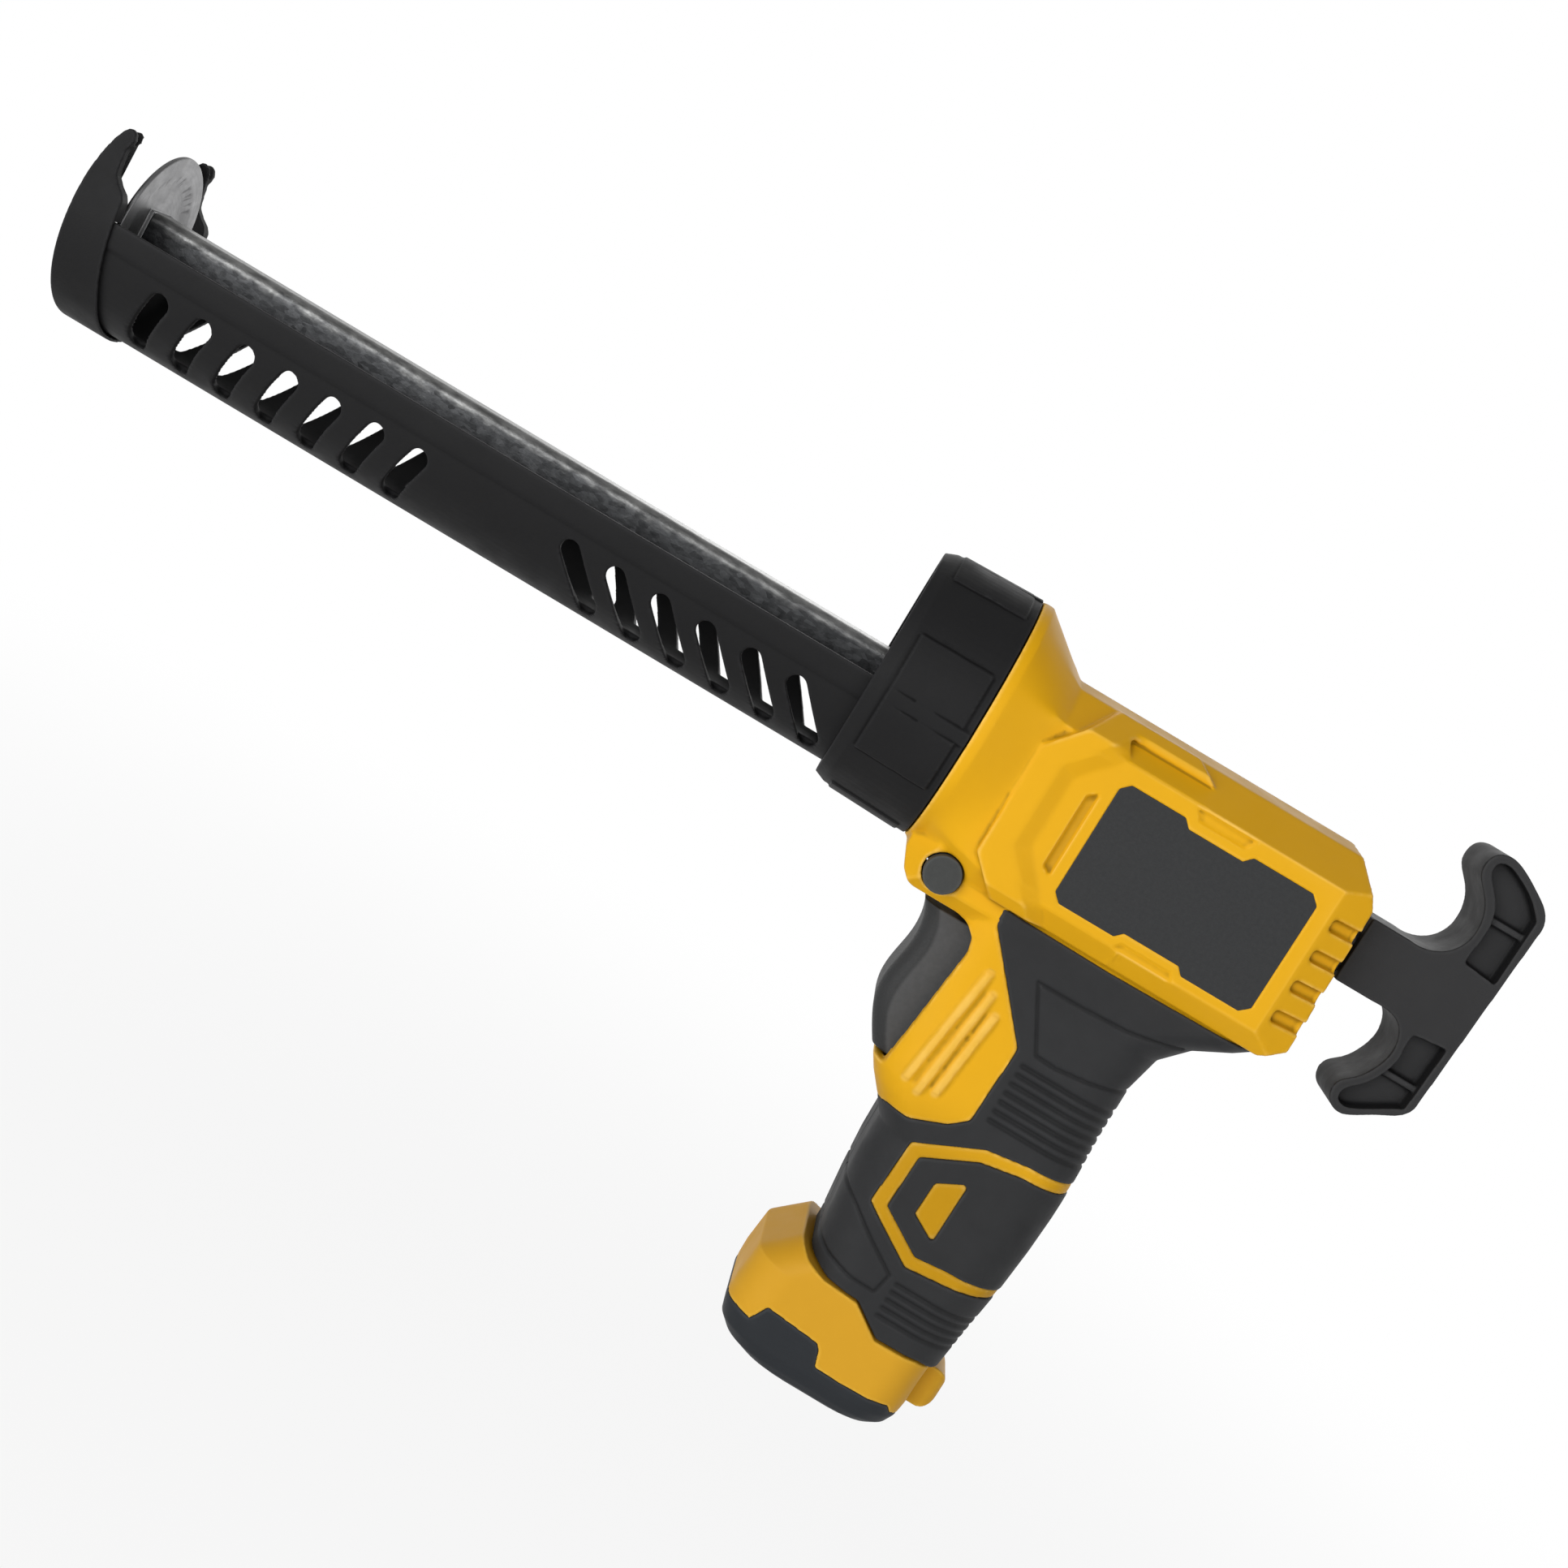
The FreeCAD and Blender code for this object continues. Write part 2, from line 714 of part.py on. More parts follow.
def casing_shell():
    grip_outer = grip_loft(0)
    core = grip_loft(sleeve_thickness)
    hollow = grip_loft(sleeve_thickness + core_wall)
    hem = through_y(grip_points(sleeve_hem_shares))
    mouth = through_y(grip_points(trigger_mouth_shares))
    panel = grip_outer.common(through_y(grip_points(panel_shares)))
    flush = grip_loft(band_sink)
    bands = flush.common(band_zone())
    inset = flush.common(through_y(grip_points(inset_shares)))
    ribs = panel_ribs()
    outer = casing_block(0, casing_front).fuse([casing_flare(0), casing_chin(0), core, panel, bands, inset])
    outer = outer.fuse([side_frame(), ribs])
    front_cavity = casing_flare(casing_wall).cut(box(-overrun, front_wall, -flange_radius, flange_radius,
                                                    -flange_radius, flange_radius))
    inner = casing_block(casing_wall, casing_front).fuse([front_cavity, casing_chin(casing_wall), hollow])
    shell = outer.cut(inner)
    shell = shell.fuse([inside(screw_bosses()), inner_ribs(), inside(plate_supports())])
    shell = shell.cut(rod_x(spigot_neck_radius + seat_gap, -overrun, front_wall + overrun))
    rear_face = casing_length - rear_lean
    shell = shell.cut(rod_passage(bush_margin, rear_face - casing_wall - overrun, casing_length + overrun))
    shell = shell.cut([both_sides(label_plate()), side_slots(), side_tabs(), both_sides(vents()), mouth, hem])
    shell = shell.cut(screw_holes())
    return shell.cut([lock_passage(), board_slot(), trigger_room()])


def inside(shape):
    half = casing_wall / 2
    room = casing_block(half, casing_front).fuse([casing_flare(half), grip_loft(sleeve_thickness)])
    return shape.common(room)


def panel_ribs():
    proud = grip_loft(-panel_rib_proud)
    ribs = [through_y(grip_points(shares)) for shares in panel_rib_shares]
    side = grip_half_width - grip_corner / 2
    middle = box(0, casing_length, -side, side, -casing_height - grip_drop, 0)
    return proud.common(ribs[0].fuse(ribs[1:])).cut(middle)


def side_slots():
    reach = casing_half_width
    slot = prism_y(casing_points(side_slot_shares), -reach - overrun, side_slot_depth - reach)
    return both_sides(slot)


def lock_passage():
    reach = chin_half_width + overrun
    return rod_y(lock_radius + slide_gap, -reach - flange_radius, reach + flange_radius, lock_x, lock_z)


def trigger_room():
    front = grip_points(trigger_front_shares)
    half = trigger_half_width + trigger_gap
    return box(front[0][0] - overrun, trigger_rear + trigger_travel + trigger_gap, -half, half,
               front[-1][1] - trigger_gap, front[0][1] + trigger_gap)


def board_slot():
    return box(board_x - seat_gap, board_x + board_thickness + seat_gap, -board_half_width - seat_gap,
               board_half_width + seat_gap, board_top - board_height, board_top)


def half_space(side):
    reach = 2 * flange_radius
    low = -casing_height - grip_drop - base_height
    if side < 0:
        return box(-overrun, casing_length + overrun, -reach, 0, low, reach)
    return box(-overrun, casing_length + overrun, 0, reach, low, reach)


def grip_sleeve():
    outer = grip_loft(0)
    sleeve = outer.cut(grip_loft(sleeve_thickness))
    sleeve = sleeve.common(through_y(grip_points(sleeve_top_shares)))
    panel = through_y(grip_points(panel_shares))
    inset = through_y(grip_points(inset_shares))
    hem = through_y(grip_points(sleeve_hem_shares))
    return sleeve.cut([panel, band_zone(), inset, hem, casing_chin(0)])


def pad_zone():
    return through_y(grip_points(band_inner_shares))


def band_zone():
    return through_y(grip_points(band_outer_shares)).cut(pad_zone())


# Barrel

def collar_profile():
    bore = spigot_radius + slide_gap
    lip_bore = cradle_outer_radius + rail_proud + slide_gap
    front = collar_front
    rear = -collar_rear_gap
    points = [
        (front, lip_bore), (front, collar_front_radius - collar_chamfer),
        (front + collar_chamfer_run, collar_front_radius), (rear, collar_rear_radius), (rear, bore),
        (front + collar_lip, bore), (front + collar_lip, lip_bore),
    ]
    face = polygon_face([V(x, 0, r) for x, r in points])
    return face.revolve(V(0, 0, 0), X_AXIS, 360)


def collar():
    body = collar_profile()
    panels = []
    inner = (collar_front_radius + spigot_radius) / 2
    x0 = collar_front + collar_panel_front
    x1 = x0 + collar_panel_length
    half = collar_panel_width / 2
    rib = collar_rib_width / 2
    for index in range(collar_group_count):
        turn = collar_group_turn + 360 / collar_group_count * index
        for offset in (-collar_panel_turn, collar_panel_turn):
            panel = box(x0, x1, -half, half, inner, collar_rear_radius + collar_panel_proud)
            panel.rotate(V(0, 0, 0), X_AXIS, turn + offset)
            panels.append(panel)
        bar = box(x0, -collar_rear_gap, -rib, rib, inner, collar_rear_radius + collar_panel_proud)
        bar.rotate(V(0, 0, 0), X_AXIS, turn)
        panels.append(bar)
    skin = Part.makeCone(collar_front_radius + collar_panel_proud, collar_rear_radius + collar_panel_proud,
                         collar_length - collar_rear_gap, V(collar_front, 0, 0), X_AXIS)
    raised = panels[0].fuse(panels[1:]).common(skin)
    return body.fuse(raised).removeSplitter()


def spigot():
    bore = spigot_radius - spigot_wall
    stub = tube_x(spigot_radius, bore, spigot_front, -seat_gap)
    stub = stub.fuse(rod_x(spigot_radius, -spigot_web, -seat_gap))
    neck = rod_x(spigot_neck_radius, -spigot_web, front_wall + seat_gap)
    flange = rod_x(spigot_flange_radius, front_wall + seat_gap, front_wall + seat_gap + spigot_web)
    solid = stub.fuse([neck, flange])
    return solid.cut(rod_passage(bush_margin, -2 * spigot_web, front_wall + 3 * spigot_web))


def front_bush():
    x0 = -spigot_web
    x1 = front_wall + seat_gap + spigot_web
    sleeve = rod_passage(bush_margin, x0, x1)
    flange = rod_passage(2 * bush_margin, x0 - bush_flange, x0)
    return sleeve.fuse(flange).cut(rod_passage(slide_gap, x0 - 2 * bush_flange, x1 + overrun))


def rear_bush():
    x1 = casing_length - rear_lean
    x0 = x1 - casing_wall
    sleeve = rod_passage(bush_margin, x0, x1)
    flange = rod_passage(2 * bush_margin, x0 - bush_flange, x0)
    return sleeve.fuse(flange).cut(rod_passage(slide_gap, x0 - 2 * bush_flange, x1 + overrun))


def lean_slot(x, lean, side):
    radius = slot_width / 2
    upper = V(x, 0, -slot_top - radius)
    lower = V(x + lean, 0, radius - slot_bottom)
    run = lower.sub(upper)
    across = V(run.z, 0, -run.x).normalize().multiply(radius)
    corners = [upper.add(across), lower.add(across), lower.sub(across), upper.sub(across)]
    flat = prism_y([(p.x, p.z) for p in corners], spine_half_width, cradle_outer_radius + overrun)
    ends = [rod_y(radius, spine_half_width, cradle_outer_radius + overrun, p.x, p.z) for p in (upper, lower)]
    slot = flat.fuse(ends)
    return slot if side > 0 else mirrored(slot)


def cradle():
    front = holder_front + holder_plate
    trough_rear = cradle_rear
    flange_front = cradle_rear - cradle_flange
    outer = rod_x(cradle_outer_radius, front, trough_rear)
    rail_top = -cradle_rim_drop
    rail = box(front, trough_rear, -cradle_outer_radius - rail_proud, cradle_outer_radius + rail_proud,
               rail_top - rail_height, rail_top)
    band = rod_x(cradle_outer_radius + rail_proud, front, trough_rear).common(rail)
    body = outer.fuse(band).cut(rod_x(cradle_inner_radius, front - overrun, trough_rear + overrun))
    above = box(front - overrun, flange_front, -flange_radius, flange_radius, rail_top, flange_radius)
    body = body.cut(above)
    ring = tube_x(spigot_radius - seat_gap, cradle_inner_radius, flange_front, trough_rear)
    body = body.fuse(ring)
    slots = []
    for side in (-1, 1):
        for index in range(front_slot_count):
            slots.append(lean_slot(front_slot_first + index * front_slot_pitch, front_slot_lean, side))
        for index in range(rear_slot_count):
            slots.append(lean_slot(rear_slot_first + index * rear_slot_pitch, rear_slot_lean, side))
    return body.cut(slots)


def front_holder():
    front = holder_front
    rear = holder_front + holder_length
    rim = cradle_outer_radius + rail_proud + seat_gap
    plate = rod_x(holder_radius, front, front + holder_plate)
    ring = tube_x(holder_radius, rim, front, rear)
    foot = -cradle_rim_drop + seat_gap
    tip = holder_radius - horn_lean
    horn = prism_x([(-holder_radius, foot), (-tip, horn_height), (horn_tip_thickness - tip, horn_height),
                    (horn_thickness - holder_radius, foot)], front, rear)
    horns = both_sides(horn)
    solid = plate.fuse([ring, horns])
    profile = [(front + a * holder_length, b * horn_height) for a, b in horn_shares]
    solid = solid.common(through_y(profile))
    slot = rod_x(nozzle_slot_radius, front - overrun, front + holder_plate + overrun)
    mouth = box(front - overrun, front + holder_plate + overrun, -nozzle_slot_radius, nozzle_slot_radius,
                0, flange_radius)
    return solid.cut([slot, mouth])


# Pusher rod

def rod_channel():
    body = box(rod_front, rod_rear, -rod_half_width, rod_half_width, rod_bottom, rod_top)
    edges = [e for e in body.Edges if long_top_edge(e)]
    body = body.makeFillet(rod_corner, edges)
    inner_half = rod_half_width - rod_wall
    hollow = box(rod_front - overrun, rod_rear + overrun, -inner_half, inner_half,
                 rod_bottom - overrun, rod_top - rod_wall)
    return body.cut([hollow, handle_pin_hole()])


def long_top_edge(edge):
    ends = [v.Point for v in edge.Vertexes]
    level = all(abs(p.z - rod_top) < running_gap for p in ends)
    return level and abs(ends[0].x - ends[1].x) > rod_height


def rack():
    pitch = math.pi * rack_module
    high = rack_module * addendum_share
    deep = rack_module * dedendum_share
    slope = math.tan(math.radians(pressure_angle))
    half = pitch / 4 - pitch * backlash_share / 2
    reach = pinion_radius + rack_module * 2
    first = math.floor((-rod_travel - reach) / pitch)
    last = math.ceil(reach / pitch)
    back = rod_top - rod_wall
    points = [(pinion_x + first * pitch, back)]
    points.append((pinion_x + first * pitch, rack_pitch_z + deep))
    for index in range(first, last):
        x = pinion_x + (index + 0.5) * pitch
        points.append((x - half - deep * slope, rack_pitch_z + deep))
        points.append((x - half + high * slope, rack_pitch_z - high))
        points.append((x + half - high * slope, rack_pitch_z - high))
        points.append((x + half + deep * slope, rack_pitch_z + deep))
    points.append((pinion_x + last * pitch, rack_pitch_z + deep))
    points.append((pinion_x + last * pitch, back))
    return prism_y(points, -rack_half_width, rack_half_width)


def pusher_disc():
    x0 = rod_front - disc_thickness
    face = Part.makeCone(disc_radius - disc_rim, disc_radius, disc_thickness - disc_edge,
                         V(x0, 0, rod_middle), X_AXIS)
    disc = face.fuse(rod_x(disc_radius, rod_front - disc_edge, rod_front, 0, rod_middle))
    dish = Part.makeCone(disc_radius - disc_rim - disc_dish_run, disc_radius - disc_rim, disc_dish,
                         V(rod_front - disc_dish, 0, rod_middle), X_AXIS)
    boss = box(rod_front - disc_dish, rod_front, -rod_half_width, rod_half_width, rod_bottom, rod_top)
    hole = rod_x(disc_screw_radius + seat_gap, x0 - overrun, rod_front + overrun, 0, rod_middle)
    seat = rod_x(disc_head_radius + seat_gap, x0 - overrun, x0 + disc_head_height, 0, rod_middle)
    return disc.cut(dish).fuse(boss).cut([hole, seat])


def rod_plug():
    inner_half = rod_half_width - rod_wall
    block = box(rod_front, rod_front + rod_plug_length, -inner_half, inner_half,
                rod_bottom, rod_top - rod_wall)
    return block.cut(rod_x(disc_screw_radius, rod_front - overrun, rod_front + disc_screw_length, 0, rod_middle))


def disc_screw():
    x0 = rod_front - disc_thickness
    head = rod_x(disc_head_radius, x0, x0 + disc_head_height, 0, rod_middle)
    shank = rod_x(disc_screw_radius, x0, rod_front + disc_screw_length, 0, rod_middle)
    return head.fuse(shank)


# Rear handle

def smooth(points):
    curve = Part.BSplineCurve()
    curve.interpolate(points)
    return curve.toShape()


def handle_profile():
    upper = [V(x, 0, z) for x, z in handle_points(hook_upper_shares)]
    lower = [V(x, 0, z) for x, z in handle_points(hook_lower_shares)]
    front = handle_front
    top = stem_half_height
    corners = [V(front, 0, -top), V(front, 0, top)]
    edges = [
        smooth(upper),
        Part.makeLine(upper[-1], lower[0]),
        smooth(lower),
        Part.makeLine(lower[-1], corners[0]),
        Part.makeLine(corners[0], corners[1]),
        Part.makeLine(corners[1], upper[0]),
    ]
    return Part.Face(Part.Wire(edges))


def handle_pocket(shares, rib_share):
    points = [V(x, 0, z) for x, z in handle_points(shares)]
    flat = points[:3]
    edges = [Part.makeLine(flat[0], flat[1]), Part.makeLine(flat[1], flat[2]), smooth(points[2:] + [points[0]])]
    face = Part.Face(Part.Wire(edges))
    face.translate(V(0, -handle_half_width - overrun, 0))
    cut = face.extrude(V(0, pocket_depth + overrun, 0))
    z = rib_share * handle_span
    rib = box(handle_front, handle_front + handle_reach, pocket_rib - handle_half_width, 0,
              z - pocket_rib / 2, z + pocket_rib / 2)
    return cut.cut(rib)


def t_handle():
    face = handle_profile()
    face.translate(V(0, -handle_half_width, 0))
    solid = face.extrude(V(0, 2 * handle_half_width, 0))
    pockets = []
    for shares, rib_share in ((pocket_upper_shares, pocket_rib_upper_share),
                              (pocket_lower_shares, pocket_rib_lower_share)):
        pocket = handle_pocket(shares, rib_share)
        pockets.append(pocket)
        pockets.append(mirrored(pocket))
    socket = rod_passage(seat_gap, handle_front - overrun, rod_rear + seat_gap)
    return solid.cut(pockets + [socket, handle_pin_hole()])


def handle_pin_x():
    return handle_front + handle_pin_share * handle_reach


def handle_pin_end():
    return handle_pin_bite - handle_half_width


def handle_pin_hole():
    return rod_y(handle_pin_radius, handle_pin_end(), handle_half_width + overrun, handle_pin_x(), rod_middle)


def handle_pin():
    head = handle_half_width - handle_pin_sink
    return rod_y(handle_pin_radius, handle_pin_end(), head, handle_pin_x(), rod_middle)


# Gears

def gear_points(module, teeth, phase):
    pitch_r = module * teeth / 2
    base_r = pitch_r * math.cos(math.radians(pressure_angle))
    tip_r = pitch_r + module * addendum_share
    root_r = pitch_r - module * dedendum_share
    half = math.pi / (2 * teeth) - math.pi * backlash_share / teeth
    involute = math.tan(math.radians(pressure_angle)) - math.radians(pressure_angle)
    start_r = max(base_r, root_r)
    flank = []
    if root_r < base_r:
        flank.append((root_r, half + involute))
    for step in range(flank_steps + 1):
        r = start_r + (tip_r - start_r) * step / flank_steps
        roll = math.acos(min(1, base_r / r))
        flank.append((r, half + involute - (math.tan(roll) - roll)))
    points = []
    for tooth in range(teeth):
        middle = phase + 2 * math.pi * tooth / teeth
        for r, a in flank:
            points.append((r * math.cos(middle - a), r * math.sin(middle - a)))
        for r, a in reversed(flank):
            points.append((r * math.cos(middle + a), r * math.sin(middle + a)))
    return points


def gear(module, teeth, phase, x, z, y0, y1):
    points = [(x + a, z + b) for a, b in gear_points(module, teeth, phase)]
    return prism_y(points, y0, y1)


def mesh_phase(driver_teeth, driver_phase, teeth, direction):
    return direction + math.pi - (driver_phase - direction) * driver_teeth / teeth - math.pi / teeth


def step_from(x, z, distance, degrees):
    angle = math.radians(degrees)
    return x + distance * math.cos(angle), z + distance * math.sin(angle)


def centre_distance(module, teeth_a, teeth_b):
    return module * (teeth_a + teeth_b) / 2


second_reach = centre_distance(wheel_module, wheel_teeth, second_small_teeth)
first_reach = centre_distance(second_module, second_large_teeth, first_small_teeth)
motor_reach = centre_distance(first_module, first_large_teeth, motor_pinion_teeth)
second_x, second_z = step_from(pinion_x, pinion_z, second_reach, second_lean)
first_x, first_z = step_from(second_x, second_z, first_reach, first_lean)
motor_x, motor_z = step_from(first_x, first_z, motor_reach, motor_lean)
wheel_phase = 0
second_phase = mesh_phase(wheel_teeth, wheel_phase, second_small_teeth, math.radians(second_lean))
first_phase = mesh_phase(second_large_teeth, second_phase, first_small_teeth, math.radians(first_lean))
motor_phase = mesh_phase(first_large_teeth, first_phase, motor_pinion_teeth, math.radians(motor_lean))

# Casing, rod and handle, as long as the drive and the barrel need
casing_length = motor_x + motor_radius + motor_rear_room
handle_front = casing_length + handle_gap
rod_rear = handle_front + rod_grip_length
rod_front = holder_front + holder_plate + disc_stop_gap + disc_thickness
rod_travel = pinion_x - rod_front - rod_plug_length - rack_lead


def rack_pinion():
    half = pinion_half_width
    teeth = gear(rack_module, pinion_teeth, math.pi / 2, pinion_x, pinion_z, -half, half)
    shaft = rod_y(shaft_radius, -inner_plate_y - plate_thickness - seat_gap, outer_plate_y - level_gap,
                  pinion_x, pinion_z)
    return teeth.fuse(shaft)


def clutch_wheel():
    top = level_low + level_face
    wheel = gear(wheel_module, wheel_teeth, wheel_phase, pinion_x, pinion_z, level_low, top)
    bore = rod_y(shaft_radius + running_gap, level_low - overrun, top + overrun, pinion_x, pinion_z)
    return wheel.cut(bore)


def clutch_discs():
    solids = []
    for y in (level_low - clutch_disc_thickness - seat_gap, level_low + level_face + seat_gap):
        top = y + clutch_disc_thickness
        disc = rod_y(clutch_disc_radius, y, top, pinion_x, pinion_z)
        bore = rod_y(shaft_radius, y - overrun, top + overrun, pinion_x, pinion_z)
        solids.append(disc.cut(bore))
    return Part.makeCompound(solids)


def clutch_nut():
    y0 = level_low + level_face + seat_gap + clutch_disc_thickness
    points = []
    for corner in range(6):
        angle = math.radians(60 * corner)
        across = clutch_nut_radius * math.cos(angle)
        up = clutch_nut_radius * math.sin(angle)
        points.append((pinion_x + across, pinion_z + up))
    nut = prism_y(points, y0, y0 + clutch_nut_height)
    return nut.cut(rod_y(shaft_radius, y0 - overrun, y0 + clutch_nut_height + overrun, pinion_x, pinion_z))


def second_gear():
    small = gear(wheel_module, second_small_teeth, second_phase, second_x, second_z, level_low, level_middle)
    large = gear(second_module, second_large_teeth, second_phase, second_x, second_z,
                 level_middle, level_middle + level_face)
    return small.fuse(large).cut(pin_bore(second_x, second_z))


def first_gear():
    small = gear(second_module, first_small_teeth, first_phase, first_x, first_z, level_middle, level_high)
    large = gear(first_module, first_large_teeth, first_phase, first_x, first_z,
                 level_high, level_high + level_face)
    hub = rod_y(gear_hub_radius, level_low, level_middle, first_x, first_z)
    return small.fuse([large, hub]).cut(pin_bore(first_x, first_z))


def pin_bore(x, z):
    return rod_y(gear_pin_radius + running_gap, inner_plate_y, outer_plate_y, x, z)


def gear_pins():
    pins = []
    for x, z in ((second_x, second_z), (first_x, first_z)):
        pins.append(rod_y(gear_pin_radius, inner_plate_y, outer_plate_y + plate_thickness, x, z))
    return Part.makeCompound(pins)


def plate_outline(places, y0):
    y1 = y0 + plate_thickness
    pieces = [rod_y(plate_margin, y0, y1, x, z) for x, z in places]
    for (ax, az), (bx, bz) in zip(places[:-1], places[1:]):
        length = math.hypot(bx - ax, bz - az)
        dx = (az - bz) / length * plate_margin
        dz = (bx - ax) / length * plate_margin
        corners = [(ax + dx, az + dz), (bx + dx, bz + dz), (bx - dx, bz - dz), (ax - dx, az - dz)]
        pieces.append(prism_y(corners, y0, y1))
    return pieces[0].fuse(pieces[1:])


def plate_hole(y0, hole):
    radius, x, z = hole
    return rod_y(radius, y0 - overrun, y0 + plate_thickness + overrun, x, z)


def plate_holes():
    posts = [(plate_post_radius, x, z) for x, z in casing_points(post_place_shares)]
    pins = [(gear_pin_radius, second_x, second_z), (gear_pin_radius, first_x, first_z)]
    return posts + pins


def gear_plate_inner():
    left_posts = casing_points(left_post_place_shares)
    places = [(pinion_x, pinion_z), left_posts[0], (second_x, second_z), (first_x, first_z), (motor_x, motor_z)]
    places += casing_points(post_place_shares)
    holes = plate_holes() + [(bush_radius, pinion_x, pinion_z), (motor_boss_radius + seat_gap, motor_x, motor_z)]
    holes += [(motor_screw_radius + seat_gap, x, z) for x, z in motor_screw_places()]
    y1 = inner_plate_y + plate_thickness
    foot = plate_outline([(pinion_x, pinion_z), left_posts[1]], inner_plate_y)
    pads = [
        rod_y(motor_pad_radius, inner_plate_y, y1, motor_x, motor_z),
        rod_y(bush_pad_radius, inner_plate_y, y1, pinion_x, pinion_z),
    ]
    plate = plate_outline(places, inner_plate_y).fuse(pads + [foot])
    keep_out = box(0, casing_length, 0, casing_half_width, rod_bottom - slide_gap, casing_top)
    return plate.cut([keep_out] + [plate_hole(inner_plate_y, hole) for hole in holes])


def gear_plate_outer():
    places = [(second_x, second_z), (first_x, first_z), (motor_x, motor_z)]
    places += casing_points(post_place_shares)
    holes = plate_holes() + [(motor_shaft_radius + slide_gap, motor_x, motor_z)]
    plate = plate_outline(places, outer_plate_y)
    return plate.cut([plate_hole(outer_plate_y, hole) for hole in holes])


def gear_plate_left():
    posts = casing_points(left_post_place_shares)
    y0 = -inner_plate_y - plate_thickness
    pad = rod_y(bush_pad_radius, y0, -inner_plate_y, pinion_x, pinion_z)
    plate = plate_outline([posts[0], (pinion_x, pinion_z), posts[1], posts[0]], y0).fuse(pad)
    keep_out = box(0, casing_length, -casing_half_width, 0, rod_bottom - slide_gap, casing_top)
    return plate.cut([keep_out, plate_hole(y0, (bush_radius, pinion_x, pinion_z))])


def plate_posts():
    solids = []
    for x, z in casing_points(post_place_shares):
        solids.append(rod_y(plate_post_radius, inner_plate_y, outer_plate_y + plate_thickness, x, z))
    for x, z in casing_points(left_post_place_shares):
        solids.append(rod_y(plate_post_radius, -inner_plate_y, inner_plate_y, x, z))
    return Part.makeCompound(solids)


def shaft_bushes():
    solids = []
    for y0 in (-inner_plate_y - plate_thickness, inner_plate_y):
        bush = rod_y(bush_radius, y0, y0 + plate_thickness, pinion_x, pinion_z)
        solids.append(bush.cut(rod_y(shaft_radius + running_gap, y0 - overrun, y0 + plate_thickness + overrun,
                                     pinion_x, pinion_z)))
    return Part.makeCompound(solids)


# Motor

def motor_can():
    y1 = inner_plate_y
    y0 = y1 - motor_length
    can = rod_y(motor_radius, y0, y1, motor_x, motor_z)
    hollow = rod_y(motor_radius - motor_wall, y0 - overrun, y1 - motor_wall, motor_x, motor_z)
    boss = rod_y(motor_boss_radius, y1, y1 + motor_boss_height, motor_x, motor_z)
    bore = rod_y(motor_shaft_radius + running_gap, y0, y1 + motor_boss_height + overrun, motor_x, motor_z)
    taps = []
    for x, z in motor_screw_places():
        taps.append(rod_y(motor_screw_radius, y1 - motor_wall - overrun, y1 + overrun, x, z))
    return can.cut(hollow).fuse(boss).cut([bore] + taps)


def motor_cap():
    y1 = inner_plate_y - motor_length
    cap = rod_y(motor_radius, y1 - motor_cap_height, y1, motor_x, motor_z)
    plug = rod_y(motor_radius - motor_wall - seat_gap, y1, y1 + motor_cap_height, motor_x, motor_z)
    reach = motor_cap_height + overrun
    bore = rod_y(motor_shaft_radius + running_gap, y1 - reach, y1 + reach, motor_x, motor_z)
    return cap.fuse(plug).cut(bore)


def motor_armature():
    rear = inner_plate_y - motor_length - motor_cap_height
    shaft = rod_y(motor_shaft_radius, rear, level_high + level_face, motor_x, motor_z)
    core_end = inner_plate_y - 2 * motor_wall
    core_start = core_end - armature_length
    core = rod_y(armature_radius, core_start, core_end, motor_x, motor_z)
    commutator = rod_y(commutator_radius, core_start - commutator_length, core_start, motor_x, motor_z)
    return shaft.fuse([core, commutator])


def motor_pinion():
    top = level_high + level_face
    pinion = gear(first_module, motor_pinion_teeth, motor_phase, motor_x, motor_z, level_high, top)
    return pinion.cut(rod_y(motor_shaft_radius, level_high - overrun, top + overrun, motor_x, motor_z))


def motor_screw_places():
    places = []
    for side in (-1, 1):
        places.append((motor_x, motor_z + side * motor_screw_ring))
    return places


def motor_screws():
    y = inner_plate_y + plate_thickness
    solids = []
    for x, z in motor_screw_places():
        shank = rod_y(motor_screw_radius, y - motor_screw_length, y, x, z)
        head = rod_y(motor_screw_head_radius, y, y + motor_screw_head, x, z)
        solids.append(shank.fuse(head))
    return Part.makeCompound(solids)


# Controls

def trigger():
    front = grip_points(trigger_front_shares)
    rear = trigger_rear
    top = front[0][1]
    low = front[-1][1]
    curve = smooth([V(x, 0, z) for x, z in front])
    a = V(front[0][0], 0, top)
    b = V(front[-1][0], 0, low)
    edges = [curve, Part.makeLine(b, V(rear, 0, low)), Part.makeLine(V(rear, 0, low), V(rear, 0, top)),
             Part.makeLine(V(rear, 0, top), a)]
    face = Part.Face(Part.Wire(edges))
    face.translate(V(0, -trigger_half_width, 0))
    solid = face.extrude(V(0, 2 * trigger_half_width, 0))
    nose = [e for e in solid.Edges if trigger_nose_edge(e, top - low)]
    solid = solid.makeFillet(trigger_round, nose)
    plunger = rod_x(plunger_radius, rear, switch_front + trigger_gap, 0, switch_middle())
    return solid.fuse(plunger)


def trigger_nose_edge(edge, height):
    limits = edge.BoundBox
    upright = limits.YLength < running_gap and limits.ZLength > height / 2
    return upright and limits.XMax < trigger_rear - running_gap


def switch_middle():
    return switch_top - switch_height / 2


def switch_body():
    body = box(switch_front, switch_front + switch_length, -switch_half_width, switch_half_width,
               switch_top - switch_height, switch_top)
    bore = rod_x(plunger_radius + slide_gap, switch_front - overrun,
                 switch_front + trigger_travel + 3 * trigger_gap, 0, switch_middle())
    return body.cut(bore)


